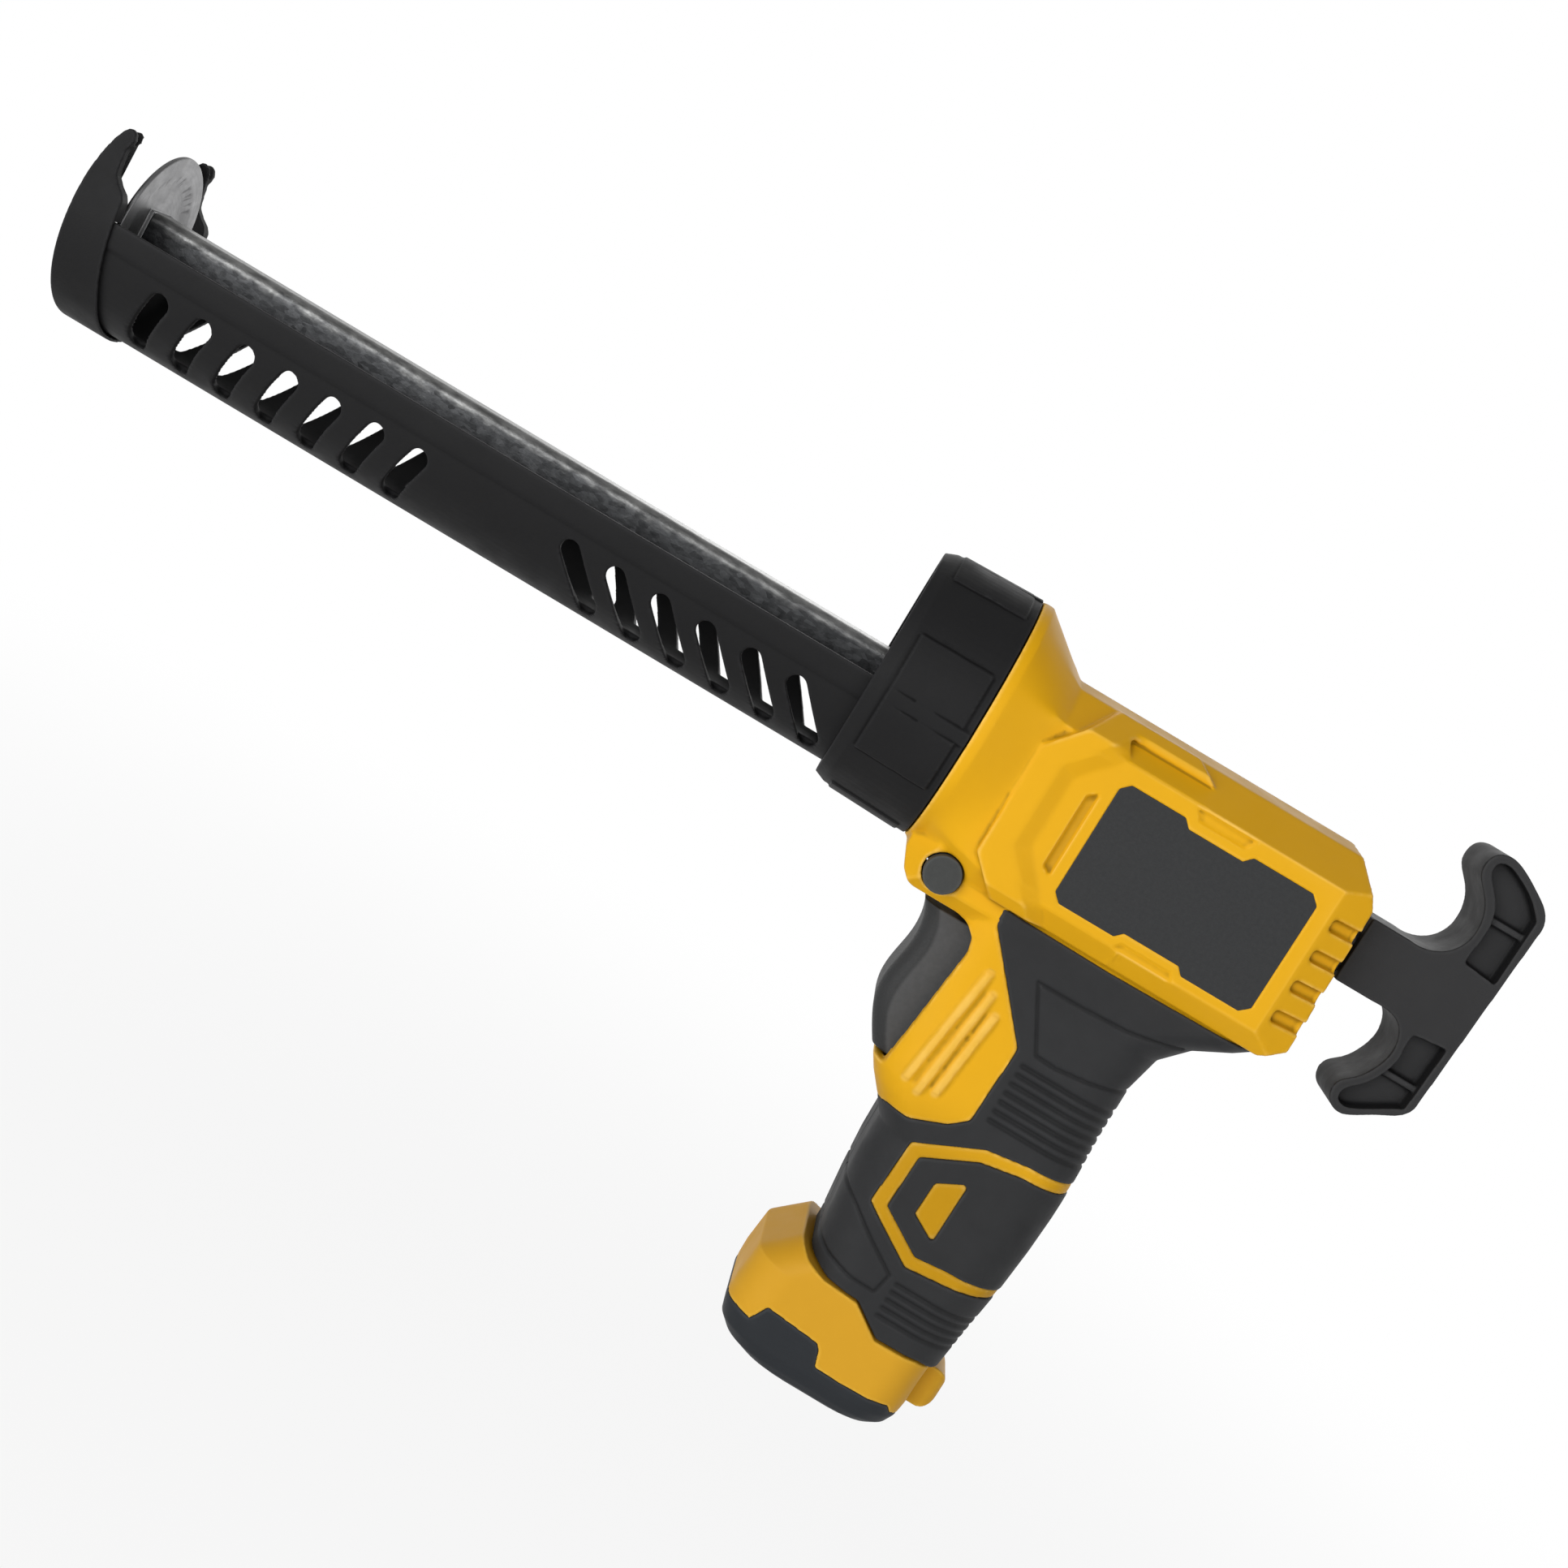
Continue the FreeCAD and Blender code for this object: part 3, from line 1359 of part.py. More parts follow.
def lock_button():
    reach = chin_half_width + lock_proud
    stem = rod_y(lock_stem_radius, -reach, reach, lock_x, lock_z)
    near = rod_y(lock_radius, -reach, lock_head + lock_proud - reach, lock_x, lock_z)
    far = rod_y(lock_radius, reach - lock_head - lock_proud, reach - lock_travel, lock_x, lock_z)
    return stem.fuse([near, far])


def control_board():
    return box(board_x, board_x + board_thickness, -board_half_width, board_half_width,
               board_top - board_height, board_top)


def contact_block():
    low = contact_low()
    block = box(contact_block_front, contact_block_front + contact_block_length, -contact_block_half_width,
                contact_block_half_width, low, low + contact_block_height)
    return block.cut(blades(seat_gap))


def blades(margin):
    solids = []
    middle = contact_block_front + contact_block_length / 2
    top = contact_low() + contact_block_height
    for index in (-1, 0, 1):
        y = index * blade_pitch
        solids.append(box(middle - blade_width / 2 - margin, middle + blade_width / 2 + margin,
                          y - blade_thickness / 2 - margin, y + blade_thickness / 2 + margin,
                          top - contact_block_height - blade_drop, top + margin))
    return Part.makeCompound(solids)


# Battery pack

def base_loft(inset):
    wires = []
    for drop, front, rear, half in reversed(base_section_shares):
        z = base_top - drop * (base_height - inset)
        wires.append(rounded_plan(z, base_front + front * base_depth + inset,
                                  base_front + rear * base_depth - inset,
                                  half * base_half_width - inset, base_corner - inset))
    return Part.makeLoft(wires, True, True)


def below_hem(gap):
    prism = through_y(grip_points(sleeve_hem_shares))
    prism.translate(V(0, 0, -gap))
    return prism


def battery_base():
    body = base_loft(0).common(below_hem(hem_gap))
    boot_zone = through_y(base_points(boot_shares))
    body = body.cut(base_loft(0).cut(base_loft(boot_thickness)).common(boot_zone))
    body = body.cut(stem_prism(seat_gap, stem_floor(), base_top + overrun))
    return body.cut(latch_pocket())


def battery_boot():
    skin = base_loft(0).cut(base_loft(boot_thickness))
    return skin.common(through_y(base_points(boot_shares))).cut(latch_pocket())


def stem_floor():
    return stem_top - stem_length


def stem_prism(grow, z0, z1):
    wire = rounded_plan(z0, stem_front - grow, stem_rear + grow, stem_half_width + grow, stem_corner + grow)
    return Part.Face(wire).extrude(V(0, 0, z1 - z0))


def cell_places():
    rear_x = stem_front + cell_rear_share * (stem_rear - stem_front)
    side = cell_radius + cell_gap / 2
    front_x = rear_x - side * math.sqrt(3)
    return [(front_x, 0), (rear_x, -side), (rear_x, side)]


def battery_stem():
    floor = stem_floor()
    solid = stem_prism(0, floor, stem_top)
    low = floor + cell_floor
    high = low + cell_length + cell_gap
    wells = [rod_z(cell_radius + cell_gap, low, high, x, y) for x, y in cell_places()]
    solid = solid.cut(wells)
    middle = contact_block_front + contact_block_length / 2
    mouths = []
    for index in (-1, 0, 1):
        y = index * blade_pitch
        mouths.append(box(middle - blade_width / 2 - slide_gap, middle + blade_width / 2 + slide_gap,
                          y - blade_thickness - slide_gap, y + blade_thickness + slide_gap,
                          stem_top - blade_drop - overrun, stem_top + overrun))
    return solid.cut(mouths + [latch_groove()])


def battery_cells():
    floor = stem_floor() + cell_floor
    return Part.makeCompound([rod_z(cell_radius, floor, floor + cell_length, x, y) for x, y in cell_places()])


def latch_button(grow):
    x1 = latch_x
    x0 = latch_x - latch_depth
    z0 = latch_z - latch_height / 2
    z1 = latch_z + latch_height / 2
    return box(x0, x1 + grow, -latch_half_width - grow, latch_half_width + grow, z0 - grow, z1 + grow)


def latch_tongue(grow):
    x0 = stem_rear - latch_bite
    x1 = latch_x - latch_depth
    half = latch_tongue_half_width + grow
    high = latch_tongue_height / 2 + grow
    return box(x0 - grow, x1 + grow, -half, half, latch_z - high, latch_z + high)


def battery_latch():
    solid = latch_button(0)
    edges = [e for e in solid.Edges if e.BoundBox.XMin > latch_x - running_gap]
    return solid.makeFillet(latch_round, edges).fuse(latch_tongue(0))


def latch_groove():
    groove = latch_tongue(slide_gap)
    pressed = groove.copy()
    pressed.translate(V(-latch_travel, 0, 0))
    return groove.fuse(pressed)


def latch_pocket():
    pocket = latch_button(slide_gap)
    pocket.translate(V(-latch_travel, 0, 0))
    return latch_button(slide_gap).fuse([pocket, latch_groove()])


# Assembly

def export_all():
    os.makedirs("parts", exist_ok=True)
    shell = casing_shell()
    sleeve = grip_sleeve()
    label = label_plate()
    nodes = {
        "casing_left": shell.common(half_space(-1)),
        "casing_right": shell.common(half_space(1)),
        "grip_sleeve_left": sleeve.cut(pad_zone()).common(half_space(-1)),
        "grip_sleeve_right": sleeve.cut(pad_zone()).common(half_space(1)),
        "grip_pad_left": sleeve.common(pad_zone()).common(half_space(-1)),
        "grip_pad_right": sleeve.common(pad_zone()).common(half_space(1)),
        "label_left": label,
        "label_right": mirrored(label),
        "casing_screws": casing_screws(),
        "spigot": spigot(),
        "front_bush": front_bush(),
        "rear_bush": rear_bush(),
        "collar": collar(),
        "cradle": cradle(),
        "front_holder": front_holder(),
        "rod_channel": rod_channel(),
        "rod_rack": rack(),
        "rod_plug": rod_plug(),
        "pusher_disc": pusher_disc(),
        "disc_screw": disc_screw(),
        "t_handle": t_handle(),
        "handle_pin": handle_pin(),
        "rack_pinion": rack_pinion(),
        "clutch_wheel": clutch_wheel(),
        "clutch_discs": clutch_discs(),
        "clutch_nut": clutch_nut(),
        "second_gear": second_gear(),
        "first_gear": first_gear(),
        "gear_pins": gear_pins(),
        "gear_plate_inner": gear_plate_inner(),
        "gear_plate_outer": gear_plate_outer(),
        "gear_plate_left": gear_plate_left(),
        "plate_posts": plate_posts(),
        "shaft_bushes": shaft_bushes(),
        "motor_can": motor_can(),
        "motor_cap": motor_cap(),
        "motor_armature": motor_armature(),
        "motor_pinion": motor_pinion(),
        "motor_screws": motor_screws(),
        "trigger": trigger(),
        "switch_body": switch_body(),
        "lock_button": lock_button(),
        "control_board": control_board(),
        "contact_block": contact_block(),
        "contact_blades": blades(0),
        "battery_base": battery_base(),
        "battery_boot": battery_boot(),
        "battery_stem": battery_stem(),
        "battery_cells": battery_cells(),
        "battery_latch": battery_latch(),
    }
    for name, shape in nodes.items():
        shape.exportStep("parts/" + name + ".step")


export_all()
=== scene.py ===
import math

import bpy
import numpy as np
from mathutils import Matrix, Vector


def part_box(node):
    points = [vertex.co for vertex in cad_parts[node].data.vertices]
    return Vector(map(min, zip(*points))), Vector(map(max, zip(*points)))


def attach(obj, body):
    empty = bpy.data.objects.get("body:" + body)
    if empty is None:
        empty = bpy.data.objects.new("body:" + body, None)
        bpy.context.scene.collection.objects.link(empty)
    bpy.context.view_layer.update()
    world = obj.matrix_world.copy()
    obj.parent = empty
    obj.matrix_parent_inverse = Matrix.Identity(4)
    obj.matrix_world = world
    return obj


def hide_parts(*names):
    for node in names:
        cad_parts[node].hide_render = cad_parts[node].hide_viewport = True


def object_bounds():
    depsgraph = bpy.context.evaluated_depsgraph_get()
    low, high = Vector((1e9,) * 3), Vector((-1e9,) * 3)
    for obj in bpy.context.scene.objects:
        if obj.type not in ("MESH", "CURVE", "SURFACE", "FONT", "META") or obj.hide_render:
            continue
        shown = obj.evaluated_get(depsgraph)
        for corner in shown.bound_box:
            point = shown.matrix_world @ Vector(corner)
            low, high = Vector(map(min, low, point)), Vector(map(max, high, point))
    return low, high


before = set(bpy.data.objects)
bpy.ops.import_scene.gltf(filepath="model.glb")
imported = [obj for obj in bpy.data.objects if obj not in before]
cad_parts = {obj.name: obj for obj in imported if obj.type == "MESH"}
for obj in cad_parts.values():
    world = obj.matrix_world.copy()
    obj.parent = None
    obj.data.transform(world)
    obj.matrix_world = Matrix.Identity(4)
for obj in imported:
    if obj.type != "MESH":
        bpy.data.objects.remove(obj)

cad_box = [list(corner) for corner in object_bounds()]


# Drive: steel gears on fixed pins, with the rack pinion on the output shaft.
# The wheels are cut from bar and left bare, so they carry faint tool marks under a film of grease.
def add_node(tree, kind, inputs, **settings):
    """A shader node with its settings, its constants and its incoming links."""
    made = tree.nodes.new(kind)
    for key, value in settings.items():
        setattr(made, key, value)
    for key, value in inputs.items():
        if isinstance(value, bpy.types.NodeSocket):
            tree.links.new(value, made.inputs[key])
        else:
            made.inputs[key].default_value = value
    return made


def skin(name, colour, shade, patch, gloss, grain, depth, metallic=0.0, specular=0.5, corner=None):
    """Two shades in soft patches, uneven gloss, fine grain, corner wear and painted light, and painted
    shade in recesses.
    """
    patch_detail, smear_detail, grain_detail = 4.0, 5.0, 3.0
    smears_per_patch, smear_break, recess_shade_tone = 2.7, 0.6, 0.45
    gloss_from, gloss_to = 0.3, 0.7
    material = bpy.data.materials.new(name)
    material.use_nodes = True
    tree = material.node_tree
    shader = tree.nodes["Principled BSDF"]
    shader.inputs["Metallic"].default_value = metallic
    shader.inputs["Specular IOR Level"].default_value = specular
    place = add_node(tree, "ShaderNodeTexCoord", {}).outputs["Object"]
    patches = add_node(
        tree, "ShaderNodeTexNoise", {"Vector": place, "Scale": 1 / patch, "Detail": patch_detail}
    )
    tone = add_node(
        tree, "ShaderNodeMix",
        {0: patches.outputs[0], 6: (*colour, 1.0), 7: (*shade, 1.0)},
        data_type="RGBA",
    )
    smear = add_node(
        tree, "ShaderNodeTexNoise",
        {
            "Vector": place, "Scale": smears_per_patch / patch,
            "Detail": smear_detail, "Roughness": smear_break,
        },
    )
    wear_and_painted_light = add_node(tree, "ShaderNodeAttribute", {}, attribute_name="edge")
    broken_wear_and_painted_light = add_node(
        tree, "ShaderNodeMath", {0: wear_and_painted_light.outputs["Fac"], 1: smear.outputs[0]}, operation="MULTIPLY"
    )
    paler = add_node(
        tree, "ShaderNodeMix",
        {0: broken_wear_and_painted_light.outputs[0], 6: tone.outputs[2], 7: (*(corner or colour), 1.0)},
        data_type="RGBA",
    )
    # The darkened colour is painted shade in recesses, grooves and walls, and the darker tone of the
    # trigger's front lip.
    shade_and_lip_mask = add_node(tree, "ShaderNodeAttribute", {}, attribute_name="shade_and_lip")
    shade_and_lip_darkened = add_node(
        tree, "ShaderNodeMix",
        {0: shade_and_lip_mask.outputs["Fac"], 6: paler.outputs[2], 7: (*(recess_shade_tone * part for part in shade), 1.0)},
        data_type="RGBA", label="colour",
    )
    tree.links.new(shade_and_lip_darkened.outputs[2], shader.inputs["Base Color"])
    uneven = add_node(
        tree, "ShaderNodeMapRange",
        {
            "Value": smear.outputs[0], "From Min": gloss_from, "From Max": gloss_to,
            "To Min": gloss[0], "To Max": gloss[1],
        },
    )
    tree.links.new(uneven.outputs[0], shader.inputs["Roughness"])
    pores = add_node(
        tree, "ShaderNodeTexNoise", {"Vector": place, "Scale": 1 / grain, "Detail": grain_detail}
    )
    relief = add_node(
        tree, "ShaderNodeBump",
        {"Strength": 1.0, "Distance": depth, "Height": pores.outputs[0]}, label="relief",
    )
    tree.links.new(relief.outputs[0], shader.inputs["Normal"])
    return material


def finish_nodes(finish, *names):
    """CAD pieces keep their shape and take this finish."""
    for name in names:
        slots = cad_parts[name].data.materials
        slots.clear()
        slots.append(finish)


cut_steel = skin(
    "cut_steel", (0.50, 0.49, 0.47), (0.36, 0.35, 0.34),
    patch=0.006, gloss=(0.26, 0.44), grain=0.0003, depth=0.000012,
    metallic=1.0,
)
finish_nodes(
    cut_steel, "rack_pinion", "clutch_wheel", "second_gear", "first_gear", "motor_pinion", "clutch_nut",
    "gear_pins", "plate_posts", "motor_screws", "motor_armature", "rod_rack", "rod_plug", "handle_pin",
)


# Gear frame and motor can: plates pressed from zinc-coated sheet, and a drawn can with a crimped cap.
# The coating shows as dull grey flecks, with scuffs where the pieces were clamped.
zinc_sheet = skin(
    "zinc_sheet", (0.44, 0.45, 0.46), (0.30, 0.31, 0.32),
    patch=0.003, gloss=(0.34, 0.55), grain=0.0005, depth=0.00001,
    metallic=1.0,
)
finish_nodes(zinc_sheet, "gear_plate_inner", "gear_plate_outer", "gear_plate_left", "motor_can")


# Bushes: sintered bronze in the plates, and acetal guides that the rod slides through.
# Bronze is left porous to hold oil, acetal is turned from white rod.
oiled_bronze = skin(
    "oiled_bronze", (0.45, 0.26, 0.11), (0.30, 0.17, 0.07),
    patch=0.002, gloss=(0.35, 0.55), grain=0.0002, depth=0.00002,
    metallic=1.0,
)
finish_nodes(oiled_bronze, "shaft_bushes")
turned_acetal = skin(
    "turned_acetal", (0.72, 0.71, 0.68), (0.64, 0.63, 0.60),
    patch=0.008, gloss=(0.38, 0.52), grain=0.0004, depth=0.00002,
)
finish_nodes(turned_acetal, "front_bush", "rear_bush", "motor_cap")


# Slip clutch: two moulded lining discs clamped on the wheel by the nut.
# The lining is a brown fibre compound with a coarse open surface.
fibre_lining = skin(
    "fibre_lining", (0.16, 0.11, 0.07), (0.09, 0.065, 0.045),
    patch=0.0015, gloss=(0.7, 0.9), grain=0.0003, depth=0.00005,
    specular=0.3,
)
finish_nodes(fibre_lining, "clutch_discs")


# Electrics in the grip: a boxed switch, a lacquered board, and a contact block with brass blades.
# The block and box are black glass-filled nylon, the blades are stamped strip.
green_board = skin(
    "green_board", (0.02, 0.15, 0.055), (0.012, 0.10, 0.04),
    patch=0.004, gloss=(0.3, 0.45), grain=0.0006, depth=0.00002,
)
finish_nodes(green_board, "control_board")
filled_nylon = skin(
    "filled_nylon", (0.020, 0.020, 0.021), (0.013, 0.013, 0.014),
    patch=0.005, gloss=(0.48, 0.62), grain=0.0004, depth=0.00003,
    specular=0.3,
)
finish_nodes(filled_nylon, "switch_body", "contact_block")
blade_brass = skin(
    "blade_brass", (0.62, 0.45, 0.18), (0.50, 0.35, 0.13),
    patch=0.003, gloss=(0.25, 0.4), grain=0.0003, depth=0.00001,
    metallic=1.0,
)
finish_nodes(blade_brass, "contact_blades")


# Casing halves: two mouldings in satin orange-yellow plastic, split on the mid-plane of the tool.
# They close round the drive with screws from the far side. Every edge leaves the mould with a small round,
# and the front flange flares softly out of the sides.
def merged_copy(name, finish):
    """The CAD piece again as an object of its own, its triangles joined."""
    join_reach = 0.000002
    piece = bpy.data.objects.new(name + "_skin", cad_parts[name].data.copy())
    bpy.context.collection.objects.link(piece)
    bpy.ops.object.select_all(action="DESELECT")
    piece.select_set(True)
    bpy.context.view_layer.objects.active = piece
    bpy.ops.object.mode_set(mode="EDIT")
    bpy.ops.mesh.select_all(action="SELECT")
    bpy.ops.mesh.remove_doubles(threshold=join_reach)
    bpy.ops.object.mode_set(mode="OBJECT")
    piece.data.materials.clear()
    piece.data.materials.append(finish)
    return piece


def work(piece, kind, **settings):
    """One modifier, applied."""
    step = piece.modifiers.new(kind.lower(), kind)
    for key, value in settings.items():
        setattr(step, key, value)
    bpy.ops.object.modifier_apply(modifier=step.name)


def placed(piece, name, body):
    """The piece stands for its CAD node and moves with that node's body."""
    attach(piece, body)
    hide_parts(name)
    return piece


def points_of(mesh):
    """Places and normals of a mesh's points, one row each."""
    spots = np.empty(len(mesh.vertices) * 3)
    mesh.vertices.foreach_get("co", spots)
    normals = np.empty(len(mesh.vertices) * 3)
    mesh.vertex_normals.foreach_get("vector", normals)
    return spots.reshape(-1, 3), normals.reshape(-1, 3)


def fade(value, zero_at, one_at):
    """0 to 1 between two limits, with soft ends."""
    share = np.clip((value - zero_at) / (one_at - zero_at), 0.0, 1.0)
    return share * share * (3.0 - 2.0 * share)


def softened(
    name, body, finish, cell, passes, most,
    press=None, flare=None, fold=600.0, trim=None, shine=None,
):
    """The CAD piece as the mould leaves it: edges rounded, flares eased and its pattern pressed in."""
    half_way, flare_passes, least_weight, mark_passes = 0.5, 120, 0.01, 2
    rub_from, rub_full, recess_from = 150.0, 700.0, 0.2 * fold
    piece = merged_copy(name, finish)
    work(piece, "REMESH", mode="VOXEL", voxel_size=cell)
    if trim:
        spots = trim(points_of(piece.data)[0])
        piece.data.vertices.foreach_set("co", spots.ravel())
        piece.data.update()
        work(piece, "REMESH", mode="VOXEL", voxel_size=cell)
    work(piece, "SMOOTH", factor=half_way, iterations=passes)
    mesh = piece.data
    if flare:
        weights = flare(points_of(mesh)[0])
        group = piece.vertex_groups.new(name="flare")
        for index in np.nonzero(weights > least_weight)[0]:
            group.add([int(index)], float(weights[index]), "REPLACE")
        work(piece, "SMOOTH", factor=half_way, iterations=flare_passes, vertex_group="flare")
        piece.vertex_groups.clear()
    pattern = np.zeros(len(mesh.vertices))
    if press:
        spots, normals = points_of(mesh)
        depth, pattern = press(spots, normals)
        spots -= normals * (depth * pattern)[:, None]
        mesh.vertices.foreach_set("co", spots.ravel())
        mesh.update()
    spots, normals = points_of(mesh)
    ends = np.empty(len(mesh.edges) * 2, dtype=np.int32)
    mesh.edges.foreach_get("vertices", ends)
    ends = ends.reshape(-1, 2)
    run = spots[ends[:, 0]] - spots[ends[:, 1]]
    turn = normals[ends[:, 0]] - normals[ends[:, 1]]
    bend = (run * turn).sum(1) / (run * run).sum(1)
    links = np.bincount(ends.ravel())
    bend = np.bincount(ends.ravel(), np.repeat(bend, 2)) / links
    for _ in range(mark_passes):
        bend = np.bincount(ends.ravel(), bend[ends[:, ::-1]].ravel()) / links
    # Convex edges are marked for the corner colour as wear, with any painted highlight from shine; concave
    # bends mark painted shade.
    wear_and_painted_light = fade(bend, rub_from, rub_full)
    if shine:
        wear_and_painted_light = np.maximum(wear_and_painted_light, shine(spots))
    recess_shade = fade(-bend, recess_from, fold)
    marks = (("edge", wear_and_painted_light), ("shade_and_lip", np.maximum(recess_shade, pattern)))
    for label, values in marks:
        mesh.attributes.new(label, "FLOAT", "POINT").data.foreach_set("value", values.astype(np.float32))
    faces = 2 * len(mesh.polygons)
    if faces > most:
        work(piece, "DECIMATE", ratio=most / faces)
    bpy.ops.object.shade_smooth()
    work(piece, "WEIGHTED_NORMAL")
    return placed(piece, name, body)


def front_flare(spots):
    """1 on the flare behind the front flange, above the chin."""
    x, z = spots[:, 0], spots[:, 2]
    flange_end, flare_start, flare_stop, flare_end = 0.0030, 0.0045, 0.0135, 0.0155
    chin_top, chin_clear = -0.0285, -0.0250
    lengthwise = fade(x, flange_end, flare_start) * fade(x, flare_end, flare_stop)
    return lengthwise * fade(z, chin_top, chin_clear)


def frame_ends(spots):
    """The raised side frame runs out at the side's lower edge and thins to a band on the shoulder."""
    x, y, z = spots.T
    # Half widths of the plain side and of the frame, the heights where their chamfers begin, and the leans.
    side, side_bottom, side_top, shoulder_lean = 0.0270, -0.0290, 0.0122, 1.609
    proud, proud_bottom, proud_top, proud_lean = 0.0290, -0.0310, 0.0142, 1.724
    chamfer_lean = 0.91
    plain_drop = chamfer_lean * np.maximum(side_bottom - z, 0.0)
    plain = side - plain_drop - shoulder_lean * np.maximum(z - side_top, 0.0)
    proud_drop = chamfer_lean * np.maximum(proud_bottom - z, 0.0)
    raised = proud - proud_drop - proud_lean * np.maximum(z - proud_top, 0.0)
    # Inner edge and foot of the frame's slope: upright at x between two heights, leaning back past them.
    lip_x, lip_low, lip_low_lean, lip_high, lip_high_lean = 0.0214, -0.0203, 1.033, 0.0040, 0.949
    foot_x, foot_low, foot_low_lean, foot_high, foot_high_lean = 0.0270, -0.0177, 0.839, 0.0020, 0.884
    lip = lip_x + np.where(z < 0.0, lip_low_lean * (lip_low - z), lip_high_lean * (z - lip_high))
    foot = foot_x + np.where(z < 0.0, foot_low_lean * (foot_low - z), foot_high_lean * (z - foot_high))
    share = np.clip((x - lip) / (foot - lip), 0.0, 1.0)
    highest = plain + (raised - plain) * (1.0 - share)
    band_foot, band_front, band_top, band_lean = 0.0172, 0.0206, 0.0188, 1.7
    thin_from, thin_full, frame_back = 0.0330, 0.0380, 0.0585
    band_face = band_front - band_lean * np.maximum(z - band_top, 0.0)
    band = raised + (band_face - raised) * fade(x, thin_from, thin_full)
    highest = np.where(z > band_foot, band, highest)
    low_from, low_to, low_inside = -0.0350, -0.0265, 0.0205
    high_from, high_to, high_inside = 0.0105, 0.0214, 0.0130
    low_end = (z > low_from) & (z < low_to) & (abs(y) > low_inside)
    high_end = (z > high_from) & (z < high_to) & (abs(y) > high_inside)
    near = (low_end | high_end) & (x > lip) & (x < frame_back)
    spots[:, 1] = np.where(near & (abs(y) > highest), np.sign(y) * highest, y)
    return spots


line_core_share = 0.3


def along_line(spots, points, half_width):
    """1 on a line through points given as (x, z) in metres, falling to 0 at its half width."""
    flat = spots[:, [0, 2]]
    nearest = np.full(len(flat), 1.0)
    for start, end in zip(np.array(points), np.array(points[1:])):
        run = end - start
        share = np.clip((flat - start) @ run / (run @ run), 0.0, 1.0)
        nearest = np.minimum(nearest, np.linalg.norm(flat - start - share[:, None] * run, axis=1))
    return fade(nearest, half_width, line_core_share * half_width)


def finger_ribs(spots):
    """1 on the three ribs of the finger panel, which take the paler corner colour as a painted highlight.
    """
    rib_half_width = 0.0016
    ribs = [
        [(0.0355, -0.0510), (0.0310, -0.0850)],
        [(0.0389, -0.0555), (0.0353, -0.0865)],
        [(0.0422, -0.0600), (0.0395, -0.0845)],
    ]
    return np.maximum.reduce([along_line(spots, rib, rib_half_width) for rib in ribs])


def place_in(tree):
    """The piece's own coordinates, as its finish has them."""
    return next(node for node in tree.nodes if node.type == "TEX_COORD").outputs["Object"]


def labelled(tree, label):
    """The node of a finish that carries this label."""
    return next(node for node in tree.nodes if node.label == label)


satin_yellow = skin(
    "satin_yellow", (0.715, 0.372, 0.008), (0.665, 0.340, 0.007),
    patch=0.03, gloss=(0.42, 0.54), grain=0.0007, depth=0.000012,
    specular=0.10, corner=(0.84, 0.53, 0.12),
)
# The grip is painted darker towards the bottom: painted shade under the body.
tree = satin_yellow.node_tree
place = place_in(tree)
height = add_node(tree, "ShaderNodeSeparateXYZ", {0: place})
painted_low_shade = add_node(
    tree, "ShaderNodeMapRange",
    {"Value": height.outputs["Z"], "From Min": -0.080, "From Max": -0.105, "To Min": 0.0, "To Max": 0.8},
    interpolation_type="SMOOTHSTEP",
)
moulded = labelled(tree, "colour").outputs[2]
low_shade_mix = add_node(
    tree, "ShaderNodeMix", {0: painted_low_shade.outputs[0], 6: moulded, 7: (0.60, 0.60, 0.60, 1.0)},
    data_type="RGBA", blend_type="MULTIPLY",
)
tree.links.new(low_shade_mix.outputs[2], tree.nodes["Principled BSDF"].inputs["Base Color"])
casing_cell = 0.00045
# The finger panel's ribs take the paler corner colour through shine, as a painted highlight.
for half in ("casing_left", "casing_right"):
    softened(
        half, "casing", satin_yellow, cell=casing_cell, passes=3, most=185000,
        flare=front_flare, trim=frame_ends, shine=finger_ribs,
    )


# Casing screws: pan heads sunk in the far half, in blackened steel with a six-sided socket.
# They draw the two halves of the casing together.
black_steel = skin(
    "black_steel", (0.10, 0.10, 0.105), (0.06, 0.06, 0.064),
    patch=0.002, gloss=(0.32, 0.5), grain=0.0003, depth=0.00002,
    metallic=1.0,
)
finish_nodes(black_steel, "casing_screws")


# Grip rubber: soft sleeve and pads moulded over the grip, matt charcoal with ribs and panel lines.
# The pattern is in the mould, so it runs round the grip at fixed heights on both sides.
def level_grooves(spots, first, pitch, count, x_low, x_high, half_width):
    """1 in level grooves that repeat downwards from a first height, between two places along the tool."""
    x, z = spots[:, 0], spots[:, 2]
    step = np.clip(np.round((first - z) / pitch), 0, count - 1)
    groove = fade(abs(z - first + step * pitch), half_width, line_core_share * half_width)
    return groove * fade(x, x_low - half_width, x_low) * fade(x, x_high + half_width, x_high)


